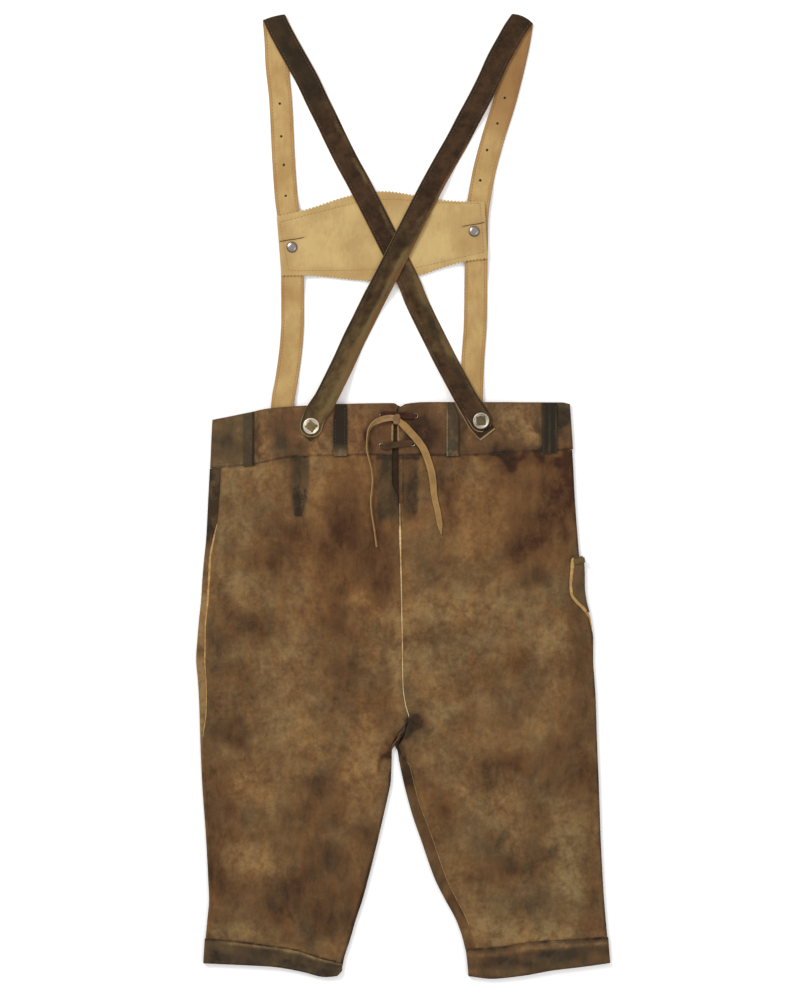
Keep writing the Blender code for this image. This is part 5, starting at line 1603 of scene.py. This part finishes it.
class Sewing:
    """Stitches gathered into one piece, with their length and thickness."""

    def __init__(self, name, length, thick):
        self.name = name
        self.length = length
        self.thick = thick
        self.places = []

    def stitch(self, at, along, up):
        """One stitch, half sunk, given in millimetres."""
        along = along.normalized()
        aside = up.cross(along).normalized()
        up = along.cross(aside)
        turn = Matrix((along, aside, up)).transposed().to_4x4()
        size = Matrix.Diagonal((self.length / 2 * MM, self.thick / 2 * MM,
                                self.thick / 2 * MM, 1))
        self.places.append(Matrix.Translation((at + up * self.thick * 0.12) * MM) @ turn @ size)

    def along_surface(self, tops):
        """Stitches on a line of (point, normal) pairs."""
        points = [point for point, _ in tops]
        for i, share in spaced(points, STRAP_PITCH):
            a, b = points[i:i + 2]
            self.stitch(a.lerp(b, share), b - a, tops[i][1])

    def on(self, top_at, line, pitch, jitter=0.0):
        """Stitches on a surface along points (x, y)."""
        points = [Vector(place) for place in line]
        for i, share in spaced(points, pitch):
            a, b = points[i:i + 2]
            at = a.lerp(b, share)
            step = (b - a) / (b - a).length * self.length / 2
            ends = [top_at(*(at - step)), top_at(*at), top_at(*(at + step))]
            if None not in ends:
                along = Vector((step.x * 2, step.y * 2, ends[2] - ends[0]))
                wobble = jitter * noise_at(at.x / 3, at.y / 3, 0)
                place = Vector((at.x - step.y * wobble, at.y + step.x * wobble, ends[1]))
                self.stitch(place, along, Vector((0, 0, 1)))

    def done(self):
        """One mesh, with a small bean at each place."""
        bean = bmesh.new()
        bmesh.ops.create_uvsphere(bean, u_segments=8, v_segments=6, radius=1)
        bean.verts.index_update()
        points = [vert.co.copy() for vert in bean.verts]
        faces = [[vert.index for vert in face.verts] for face in bean.faces]
        bean.free()
        mesh = bpy.data.meshes.new(self.name)
        mesh.from_pydata([place @ point for place in self.places for point in points], [],
                         [[i + k * len(points) for i in face]
                          for k in range(len(self.places)) for face in faces])
        mesh.shade_smooth()
        piece = bpy.data.objects.new(self.name, mesh)
        bpy.context.scene.collection.objects.link(piece)
        return piece


# ---------------------------------------------------------------- finishes

def seen(red, green, blue):
    """A colour as it looks, each part 0 to 255, as the linear colour of a shader."""
    parts = [part / 255 for part in (red, green, blue)]
    return (*(part / 12.92 if part <= 0.04045 else ((part + 0.055) / 1.055) ** 2.4
              for part in parts), 1)


class Wire:
    """An output inside a finish; sums of wires become nodes."""

    def __init__(self, finish, socket):
        self.finish = finish
        self.socket = socket

    def sum(self, operation, *values):
        return self.finish.node("ShaderNodeMath", {"operation": operation}, *values)

    def __add__(self, other):
        return self.sum("ADD", self, other)

    def __sub__(self, other):
        return self.sum("SUBTRACT", self, other)

    def __mul__(self, other):
        return self.sum("MULTIPLY", self, other)

    def __radd__(self, other):
        return self.sum("ADD", other, self)

    def __rsub__(self, other):
        return self.sum("SUBTRACT", other, self)

    def eased(self, low, high):
        """0 at low and 1 at high, eased at both."""
        return self.finish.node("ShaderNodeMapRange", {"interpolation_type": "SMOOTHSTEP"},
                                self, low, high, 0, 1)

    def scaled(self, by):
        """This colour or place times a number."""
        return self.finish.node("ShaderNodeVectorMath", {"operation": "SCALE"}, self,
                                Skip, Skip, by)

    def stretched(self, *by):
        """This place with each axis times its own number."""
        return self.finish.node("ShaderNodeVectorMath", {"operation": "MULTIPLY"}, self, by)


class Skip:
    """A socket left as it is."""


class Finish:
    """A leather, thread or metal and the nodes that it is made of."""

    def __init__(self, name, **constants):
        self.material = bpy.data.materials.new(name)
        self.material.use_nodes = True
        self.tree = self.material.node_tree
        self.shader = self.tree.nodes["Principled BSDF"]
        for socket, value in constants.items():
            self.shader.inputs[socket.replace("_", " ")].default_value = value
        self.at = self.node("ShaderNodeTexCoord", {}, out="Object")

    def node(self, kind, settings, *values, out=0):
        made = self.tree.nodes.new(kind)
        for setting, value in settings.items():
            setattr(made, setting, value)
        for i, value in enumerate(values):
            self.join(value, made.inputs[i])
        return Wire(self, made.outputs[out])

    def join(self, value, socket):
        if isinstance(value, Wire):
            self.tree.links.new(value.socket, socket)
        elif value is not Skip:
            socket.default_value = value

    def mark(self, name):
        return self.node("ShaderNodeAttribute", {"attribute_name": name}, out="Fac")

    def noise(self, scale, detail=3.0, rough=0.55, at=None, lean=0.0):
        """Soft noise from 0 to 1; scale is in cells to a metre."""
        return self.node("ShaderNodeTexNoise", {}, at or self.at, Skip, scale, detail, rough,
                         Skip, Skip, Skip, lean)

    def cells(self, scale):
        return self.node("ShaderNodeTexVoronoi", {}, self.at, Skip, scale, out="Distance")

    def blend(self, first, second, share):
        """The first colour turned into the second by a share from 0 to 1."""
        made = self.tree.nodes.new("ShaderNodeMix")
        made.data_type = "RGBA"
        made.clamp_factor = True
        for value, i in ((share, 0), (first, 6), (second, 7)):
            self.join(value, made.inputs[i])
        return Wire(self, made.outputs[2])

    def set(self, socket, value):
        self.join(value, self.shader.inputs[socket])

    def done(self, colour, rough, *layers):
        """The material, with bumps (height from 0 to 1, depth in millimetres) on each other."""
        self.set("Base Color", colour)
        self.set("Roughness", rough)
        normal = Skip
        for height, depth in layers:
            bump = self.tree.nodes.new("ShaderNodeBump")
            bump.inputs["Distance"].default_value = depth * MM
            self.join(height, bump.inputs["Height"])
            self.join(normal, bump.inputs["Normal"])
            normal = Wire(self, bump.outputs[0])
        self.set("Normal", normal)
        return self.material


def suede(name, cool, warm):
    """Napped leather: clouded, between a cool and a warm set of dark, middling and pale."""
    made = Finish(name, Sheen_Weight=0.02, Sheen_Roughness=0.6, Specular_IOR_Level=0.08)
    broad = made.noise(9, 2, 0.5, lean=0.3)
    cloud = made.noise(22, 3, 0.55, lean=0.5)
    tint = made.noise(24, 4, 0.65, at=made.at.stretched(1.2, 0.8, 1), lean=0.6)
    patch = made.noise(72, 4, 0.6, lean=0.4)
    brushed = made.noise(95, 3, 0.6, at=made.at.stretched(1, 0.45, 1), lean=0.6)
    fleck = made.noise(230, 4, 0.6)
    pile = made.noise(640, 4, 0.7)
    ragged = 1 + (patch - 0.5) * 2.5 + (fleck - 0.5) * 1.4
    # The 'dark' mark is stains and grease, and painted shade where the tables lay it in;
    grease_and_shade = made.mark("dark") * ragged
    # past 1 it blends to near black
    tone = ((broad - 0.5) * 0.4 + (cloud - 0.5) * 0.62 + (patch - 0.5) * 0.78
            + (brushed - 0.5) * 0.58 + (fleck - 0.5) * 0.5 + (pile - 0.5) * 0.34
            + made.mark("pale") * ragged * 0.52 - grease_and_shade * 0.53 + 0.52)
    hue = (tint - 0.5) * 2.0 + (brushed - patch) * 0.8 + made.mark("warm") * 0.75 + 0.5
    colours = [made.blend(made.blend(seen(*dark), seen(*middling), tone * 2), seen(*pale),
                          tone * 2 - 1) for dark, middling, pale in (cool, warm)]
    colour = made.blend(*colours, hue)
    colour = made.blend(colour, seen(43, 32, 21), (grease_and_shade - 1.0) * 1.2)
    return made.done(colour, 0.95 - grease_and_shade.eased(0.0, 1.2) * 0.14,
                     (patch, 0.5), (fleck, 0.4), (pile, 0.28))


def flesh_side(name, *colours):
    """The inner side of a hide: pale, matt and a little fibrous."""
    made = Finish(name, Sheen_Weight=0.06, Sheen_Roughness=0.6, Specular_IOR_Level=0.2)
    light, deep, warm_edge = (seen(*colour) for colour in colours)
    cloud = made.noise(24, 3, 0.55)
    fibres = made.noise(260, 4, 0.7, at=made.at.stretched(1, 0.35, 1), lean=0.6)
    fine = made.noise(900, 3, 0.65)
    colour = made.blend(deep, light, (cloud * 0.7 + fibres * 0.3
                                      + made.mark("pale") * 0.3).eased(0.36, 0.64))
    colour = made.blend(colour, warm_edge, made.mark("warm") * (0.6 + fibres * 0.8))
    # the 'dark' mark holds stains, and painted shade by the chest cuts and the straps' edges
    colour = made.blend(colour, seen(120, 82, 48), made.mark("dark") * (0.5 + fibres))
    return made.done(colour.scaled(1 + (fibres - 0.5) * 0.1 + (fine - 0.5) * 0.18),
                     0.74 + fibres * 0.16, (cloud, 0.2), (fibres, 0.22), (fine, 0.12))


def strap_leather(name, *colours):
    """Dark oiled leather with a fine grain, rubbed paler along its edges."""
    made = Finish(name, Specular_IOR_Level=0.06)
    deep, brown, pale, warm_pale, cut = (seen(*colour) for colour in colours)
    patch = made.noise(48, 4, 0.6)
    fleck = made.noise(210, 4, 0.65)
    grain = made.cells(620)
    fine = made.noise(1100, 3, 0.65)
    ragged = (patch - 0.5) * 0.7 + (fleck - 0.5) * 0.6
    colour = made.blend(deep, brown, (patch * 0.72 + fleck * 0.28).eased(0.34, 0.68))
    colour = made.blend(colour, pale, (made.mark("pale") * (1 + ragged)).eased(0.1, 1.0) * 0.9)
    colour = made.blend(colour, warm_pale, (made.mark("pale") * made.mark("warm")
                                            * (0.7 + fleck)).eased(0.1, 1.0) * 0.7)
    colour = made.blend(colour, seen(40, 37, 27), made.mark("dark") * (0.6 + fleck * 0.6))
    colour = made.blend(colour, cut, (made.mark("pale") - 1).eased(0.1, 0.9) * 0.85)
    return made.done(colour.scaled(1 + (fleck - 0.5) * 0.3 + (fine - 0.5) * 0.25),
                     0.66 + fleck * 0.24, (patch, 0.2), (fleck, 0.2), (grain, 0.06), (fine, 0.08))


def cut_leather(name, gloss, *colours):
    """Narrow trims and laces: smooth leather with paler and darker lengths."""
    made = Finish(name, Specular_IOR_Level=gloss)
    light, deep, dark = (seen(*colour) for colour in colours)
    patch = made.noise(75, 4, 0.6)
    fleck = made.noise(330, 4, 0.65)
    fine = made.noise(1300, 3, 0.6)
    colour = made.blend(deep, light, (patch * 0.6 + fleck * 0.4 + made.mark("pale") * 0.35)
                        .eased(0.36, 0.66))
    colour = made.blend(colour, dark, (made.mark("dark") * (0.6 + fleck * 0.9)
                                       + (fleck - 0.6) * 0.6).eased(0.1, 1.0))
    return made.done(colour.scaled(1 + (fine - 0.5) * 0.3), 0.72 + (fleck - 0.5) * 0.25,
                     (fleck, 0.16), (fine, 0.07))


def thread(name, *colours):
    """Waxed twine, darker between its strands."""
    made = Finish(name, Sheen_Weight=0.15, Specular_IOR_Level=0.35)
    light, deep = (seen(*colour) for colour in colours)
    worn = made.noise(60, 3, 0.5)
    strands = made.noise(2600, 2, 0.5, at=made.at.stretched(1, 0.6, 1))
    colour = made.blend(deep, light, (worn * 0.4 + strands * 0.6).eased(0.36, 0.64))
    return made.done(colour, 0.6 + strands * 0.25, (strands, 0.12))


def metal(name, bright, dull, rough, tarnish_and_reflection):
    """Turned and plated metal, its colours linear, with light scratches and tarnish."""
    made = Finish(name, Metallic=1.0)
    tarnish = made.noise(190, 4, 0.6)
    scratches = made.noise(1400, 2, 0.5, at=made.at.stretched(1, 0.12, 1))
    # the 'dark' mark is the snap caps' darker rims, a painted reflection
    dirt_and_shading = (tarnish * 0.8 + scratches * 0.2).eased(0.45, 0.72) * tarnish_and_reflection + made.mark("dark")
    return made.done(made.blend((*bright, 1), (*dull, 1), dirt_and_shading),
                     rough + dirt_and_shading * 0.3 + (scratches - 0.5) * 0.1,
                     (scratches, 0.012), (tarnish, 0.02))


# ---------------------------------------------------------------- the camera and the light

camera_data = bpy.data.cameras.new("Camera")
camera = bpy.data.objects.new("Camera", camera_data)
bpy.context.scene.collection.objects.link(camera)
camera_data.lens = LENS
camera_data.sensor_width = SENSOR
camera.location = LOOK_AT + Vector((0, 0, SEEN * LENS / SENSOR))
bpy.context.scene.camera = camera

world = bpy.data.worlds.new("Studio")
bpy.context.scene.world = world
world.use_nodes = True
world.node_tree.nodes["Background"].inputs["Color"].default_value = (1, 0.99, 0.975, 1)
world.node_tree.nodes["Background"].inputs["Strength"].default_value = 0.72

for name, place, size, power in (("Key", (-1.5, 1.6, 1.9), 1.1, 48),
                                 ("Fill", (1.8, -0.6, 2.2), 2.0, 16)):
    light = bpy.data.lights.new(name, "AREA")
    light.shape = "DISK"
    light.size = size
    light.energy = power
    lamp = bpy.data.objects.new(name, light)
    lamp.location = place
    lamp.rotation_euler = (-Vector(place)).to_track_quat("-Z", "Y").to_euler()
    bpy.context.scene.collection.objects.link(lamp)

bpy.context.scene.view_settings.view_transform = "Standard"

made = bmesh.new()
bmesh.ops.create_grid(made, x_segments=4, y_segments=4, size=4)
floor = put("Floor", made)
floor.location.z = -0.0002
paper = Finish("white paper", Roughness=0.95)
paper.set("Base Color", paper.blend((0.9, 0.9, 0.9, 1), (0.93, 0.93, 0.93, 1), paper.noise(3)))
paper.shader.inputs["Emission Color"].default_value = (1, 1, 1, 1)
paper.shader.inputs["Emission Strength"].default_value = 0.12
floor.data.materials.append(paper.material)


# ---------------------------------------------------------------- everything in its place

finishes = {
    "suede": suede("brown suede", ((55, 44, 31), (101, 80, 53), (130, 109, 74)),
                   ((61, 38, 24), (106, 75, 45), (138, 103, 62))),
    "band_suede": suede("waistband suede", ((58, 48, 36), (92, 73, 49), (130, 106, 73)),
                        ((60, 41, 28), (100, 71, 46), (142, 105, 63))),
    "loop_suede": suede("belt loop suede", ((40, 36, 29), (72, 63, 47), (118, 106, 80)),
                        ((44, 34, 26), (76, 57, 40), (122, 98, 68))),
    # suede darkened as painted shade, for the gusset inside the slit
    "dark_suede": suede("suede darkened as painted shade", ((27, 21, 14), (44, 34, 23), (60, 47, 33)),
                        ((29, 20, 13), (48, 33, 22), (64, 45, 31))),
    "strap_leather": strap_leather("dark strap leather", (43, 31, 21), (70, 50, 34),
                                   (104, 86, 54), (104, 68, 41), (156, 138, 104)),
    "tan_leather": flesh_side("tan lining leather", (187, 160, 106), (169, 140, 90),
                              (168, 130, 78)),
    "front_tan": flesh_side("strap lining leather", (178, 148, 96), (163, 131, 80),
                            (152, 110, 60)),
}
# Cut leathers: gloss, light, deep, dark
for key, name, gloss, *colours in (
        ("piping_leather", "piping leather", 0.22, (214, 188, 142), (176, 142, 94), (122, 90, 56)),
        ("gold_piping", "golden piping leather", 0.22, (190, 154, 98), (154, 116, 66),
         (108, 78, 44)),
        ("dull_piping", "worn piping leather", 0.22, (158, 124, 80), (118, 90, 58), (92, 68, 44)),
        ("lace_leather", "lace leather", 0.22, (148, 116, 76), (118, 88, 56), (74, 53, 36)),
        ("tan_lace", "tan lace leather", 0.22, (148, 115, 68), (129, 98, 57), (106, 78, 50)),
        ("knot_leather", "knot leather", 0.22, (134, 102, 70), (106, 78, 53), (64, 46, 32)),
        ("thong_leather", "thong leather", 0.22, (120, 104, 62), (92, 78, 46), (50, 41, 28)),
        ("dull_thong", "dull thong leather", 0.22, (94, 80, 54), (70, 58, 39), (46, 37, 26)),
        # also painted shade: punched holes, button holes and the chest piece's cuts
        ("dark_lace", "dark lace leather", 0.08, (70, 42, 32), (40, 27, 19), (26, 19, 15)),
        ("low_lace", "lower lace leather", 0.08, (74, 53, 36), (53, 40, 27), (38, 30, 22)),
        ("tab_leather", "tab leather", 0.12, (100, 84, 48), (78, 64, 37), (44, 37, 24))):
    finishes[key] = cut_leather(name, gloss, *colours)
# Metals: bright, dull, roughness, tarnish
for key, *made_of in (
        ("bright_metal", "bright plate", (0.36, 0.32, 0.3), (0.14, 0.12, 0.11), 0.24, 0.7),
        ("dull_metal", "worn nickel silver", (0.5, 0.45, 0.36), (0.3, 0.25, 0.18), 0.45, 0.9),
        ("button_metal", "nickel silver", (0.7, 0.63, 0.52), (0.42, 0.34, 0.24), 0.42, 0.8),
        ("eyelet_metal", "darkened brass", (0.3, 0.24, 0.17), (0.08, 0.06, 0.045), 0.2, 0.9)):
    finishes[key] = metal(*made_of)
for key, *made_of in (("brown_twine", "brown twine", (92, 66, 42), (58, 42, 30)),
                      ("strap_twine", "strap twine", (108, 80, 52), (70, 50, 34)),
                      ("rust_twine", "rust twine", (162, 110, 66), (118, 76, 44)),
                      ("tan_twine", "tan twine", (152, 110, 64), (114, 80, 46))):
    finishes[key] = thread(*made_of)


def wear(piece, finish, slot, *nodes):
    """Give a piece its finish and its place in the frame."""
    piece.data.materials.append(finishes[finish])
    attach(piece, "root")
    if nodes:
        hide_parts(*nodes)
    return piece


def cut_of(rows):
    """Width, length and area of a laid sheet before it was sewn, in metres."""
    grid = np.array([[tuple(point) for point in row] for row in rows]) * MM
    across = np.linalg.norm(np.diff(grid, axis=1), axis=2).sum(axis=1).max()
    down = np.linalg.norm(np.diff(grid, axis=0), axis=2).sum(axis=0).max()
    area = 0.0
    for corner, a, b in ((grid[:-1, :-1], grid[1:, :-1], grid[:-1, 1:]),
                         (grid[1:, 1:], grid[1:, :-1], grid[:-1, 1:])):
        area += np.linalg.norm(np.cross(a - corner, b - corner), axis=2).sum() / 2
    return (round(float(across), 3), round(float(down), 3)), round(float(area), 5)


def lay(made, finish, slot, node, rests_on):
    """Place a sheet of leather and work out how it was cut, which nothing uses.

    What it lies on is not used.
    """
    piece, rows = made
    wear(piece, finish, slot, node)
    flat, area = cut_of(rows)
    return piece


# The lace comes first
for side in (-1, 1):
    wear(lace_tail(side), "lace_leather" if side < 0 else "tan_lace", "lace_leather",
         "lace_end_" + word(side))

backs, bands, cuffs = {}, {}, {}
for side in (-1, 1):
    name = word(side)
    backs[side] = lay(back_panel(side), "suede", "suede", "back_" + name,
                      "front_panel_" + name)
    lay(front_panel(side), "suede", "suede", "front_" + name, "Floor")
    bands[side] = lay(waistband(side), "band_suede", "band_suede", "waistband_" + name,
                      "Floor")
    cuffs[side] = lay(cuff(side), "band_suede", "band_suede", "cuff_" + name, "Floor")

lay(flap(), "suede", "suede", "front_flap", "Floor")
# The gusset's suede is darkened as painted shade inside the slit
lay(slit_gusset(), "dark_suede", "dark_suede", "back_gusset", "flap")
for side in (-1, 1):
    wear(slit_edge(side), "dull_piping", "piping_leather")

loops = {}
for number in (1, 2, 3, 4):
    slot = "dark_suede" if number in (2, 4) else "band_suede"
    loops[number] = lay(belt_loop(number), "loop_suede", slot, "belt_loop_%d" % number,
                        "band_left" if number < 3 else "band_right")

lay(pouch(), "suede", "suede", "knife_pocket", "back_panel_right")

# Welts, sunk in their seams
on_backs = surface_of(*backs.values())


def in_seam(x, y):
    return PANEL_TOP - WELT_SUNK


centre_line = [(read(CENTRES, y), y) for y in steps(-8, -265, 320)]
wear(welt("welt_centre", centre_line, 2.1, in_seam,
          widths=((-265, 0.45), (-140, 0.55), (-75, 0.65), (-62, 0.9), (-44, 1.2), (-38, 0.95),
                  (-33, 0.4), (-8, 0.3))),
     "piping_leather", "piping_leather", "piping_centre")
side_line = [(side_seam_x(-1, level), row_y(-1, level, side_seam_x(-1, level)))
             for level in steps(-30, -289, 320)]
wear(welt("welt_side", side_line, 2.3, in_seam,
          widths=((-290, 0.35), (-230, 0.5), (-150, 0.85), (-90, 1.25), (-50, 0.8), (-30, 0.4))),
     "gold_piping", "piping_leather", "piping_side")
inseam_line = [(back_inner_x(1, level) - GAP / 2, row_y(1, level, back_inner_x(1, level)))
               for level in steps(-318, -512, 240)]
wear(welt("welt_inseam", inseam_line, 1.0, in_seam,
          widths=((-512, 0.9), (-470, 1), (-318, 0.7))),
     "dull_piping", "piping_leather", "piping_inseam")
pocket_top = PANEL_TOP + POCKET_GAP + TRIM
POCKET_PIPING = ((-74, 204.2), (-88, 202.8), (-105, 201.4), (-117, 202.2), (-126.8, 208.6),
                 (-133, 215.2), (-138, 219.4), (-142.4, 222.2), (-148.4, 224.6), (-156.8, 226),
                 (-168, 227.2))
pocket_line = [(read(POCKET_PIPING, y), y) for y in steps(-74, -168, 90)]
wear(welt("welt_pocket", pocket_line, 4.2,
          lambda x, y: mix(pocket_top - 0.6, 4.2, ramp(y, -134, -148)),
          widths=((-168, 0.2), (-150, 0.4), (-142, 0.75), (-134, 1), (-112, 0.85), (-74, 1.1)),
          rough=0.12),
     "gold_piping", "piping_leather", "piping_pocket")
wear(outlined("pocket_tab_leather", turned_square(211.4, -77.2, 9, 6.8, 3.3, 0.9), 1.1,
              pocket_top + 0.3, 0.3), "tab_leather", "piping_leather", "pocket_tab")

# Straps
strap_sewing = Sewing("stitches_straps", 3.1, 0.55)
lining_sewing = Sewing("stitches_strap_linings", 3.0, 0.6)
outers, linings = {}, {}
for side in (-1, 1):
    name = word(side)
    *outer, sewing = strap_layer(side, lining=False)
    outers[side] = lay(outer, "strap_leather", "strap_leather", "strap_rear_" + name,
                       "strap_%s_lining" % name)
    for line in sewing:
        strap_sewing.along_surface(line[:len(line) // 2 + 8])
    *lining, sewing = strap_layer(side, lining=True)
    linings[side] = lay(lining, "front_tan", "tan_leather", "strap_front_" + name,
                        "Floor")
    linings[side].data.materials.append(finishes["strap_leather"])
    for line in sewing:
        lining_sewing.along_surface(line[len(line) // 2 - 2:])
for side in (-1, 1):
    x, y, _ = BUTTONS[side]
    way = travel_at(REAR[-side], y)
    start = math.atan2(way.y, way.x)
    arc = [(x + SEWN_AT * math.cos(start + a), y + SEWN_AT * math.sin(start + a))
           for a in steps(math.pi / 2, 3 * math.pi / 2, 24)]
    strap_sewing.on(surface_of(outers[-side]), arc, STRAP_PITCH)
wear(strap_sewing.done(), "strap_twine", "strap_leather")
wear(lining_sewing.done(), "rust_twine", "tan_leather")

for side in (-1, 1):
    wear(punched(side, surface_of(linings[side])), "dark_lace", "tan_leather")

# Chest piece
lay(chest_outer(), "suede", "suede", "chest_front", "Floor")
on_chest = surface_of(lay(chest_lining(), "tan_leather", "tan_leather", "chest_backing",
                          "chest_outer"))
chest_sewing = Sewing("stitches_chest", 3.0, 0.5)
chest_sewing.on(on_chest, CHEST_SEAM, 4.2, 0.1)
for side, ((x0, y0), (x1, y1)) in zip((-1, 1), CHEST_SLITS):
    cut = [(mix(x0, x1, share), mix(y0, y1, share) + 0.3 * math.sin(7 * share))
           for share in steps(0, 1, 40)]
    # a dark strip sunk in each cut: painted shade of the cut
    wear(welt("chest_cut_" + word(side), cut[1:-1], 1.0, lambda x, y: on_chest(x, y) - 0.12),
         "dark_lace", "tan_leather")
wear(chest_sewing.done(), "tan_twine", "tan_leather")

for side in (-1, 1):
    name = word(side)
    wear(snap_cap(side), "bright_metal", "bright_metal", "snap_" + name)
    wear(button_disc(side), "button_metal" if side < 0 else "dull_metal", "button_metal",
         "button_" + name)
    lace, holes = button_lace(side)
    wear(lace, "thong_leather" if side < 0 else "dull_thong", "strap_leather",
         "button_thong_" + name)
    for hole in holes:
        wear(hole, "dark_lace", "lace_leather")
    wear(hidden_button(side), "button_metal", "button_metal", "front_button_" + name)
for number in (1, 2, 3, 4):
    wear(eyelet_ring(number), "eyelet_metal", "bright_metal", "eyelet_%d" % number)

wear(lace_crossing("lace_top_crossing", (-27.2, 98.6), (16, 96.4), 0), "dark_lace",
     "lace_leather", "lace_upper")
wear(lace_crossing("lace_low_crossing", (-27, 59.2), (13, 65.2), 0.9), "low_lace",
     "lace_leather", "lace_lower")
wear(knot_wrap(), "knot_leather", "lace_leather", "lace_knot")

# Sewing on the trousers
on_bands = surface_of(*bands.values())
band_sewing = Sewing("stitches_waistband", 2.8, 0.5)
for side, stretch in ((-1, (-226, -16)), (1, (-3, 198))):
    foot_line = [(x, read(BAND_FEET, x) + 5) for x in steps(*stretch, 120)]
    band_sewing.on(on_bands, foot_line, 4.0)
for number in (1, 2, 3, 4):
    x_mid, width, below, _, _ = LOOPS[number - 1]
    on_loop = surface_of(loops[number])
    for edge in (-1, 1):
        x = x_mid + edge * (width / 2 - LOOP_SEWN)
        top = read(BAND_TOPS, x) - (18 if (number, edge) in ((2, -1), (3, 1)) else 4)
        band_sewing.on(on_loop, [(x, top), (x, read(BAND_FEET, x) + 3)], 4.0)
wear(band_sewing.done(), "brown_twine", "band_suede")
on_cuffs = surface_of(*cuffs.values())
cuff_sewing = Sewing("stitches_cuffs", 2.6, 0.45)
for side, stretch in ((-1, (-233, -78)), (1, (84, 243))):
    seam_line = [(x, read(CUFF_TOPS[side], x) - 2.6) for x in steps(*stretch, 80)]
    cuff_sewing.on(on_cuffs, seam_line, 3.8)
wear(cuff_sewing.done(), "brown_twine", "band_suede")
dart_sewing = Sewing("stitches_dart", 2.2, 0.5)
dart_sewing.on(on_backs, [(-121.2, 41), (-121, 4), (-121.6, -28)], 4.4)
wear(dart_sewing.done(), "brown_twine", "suede")
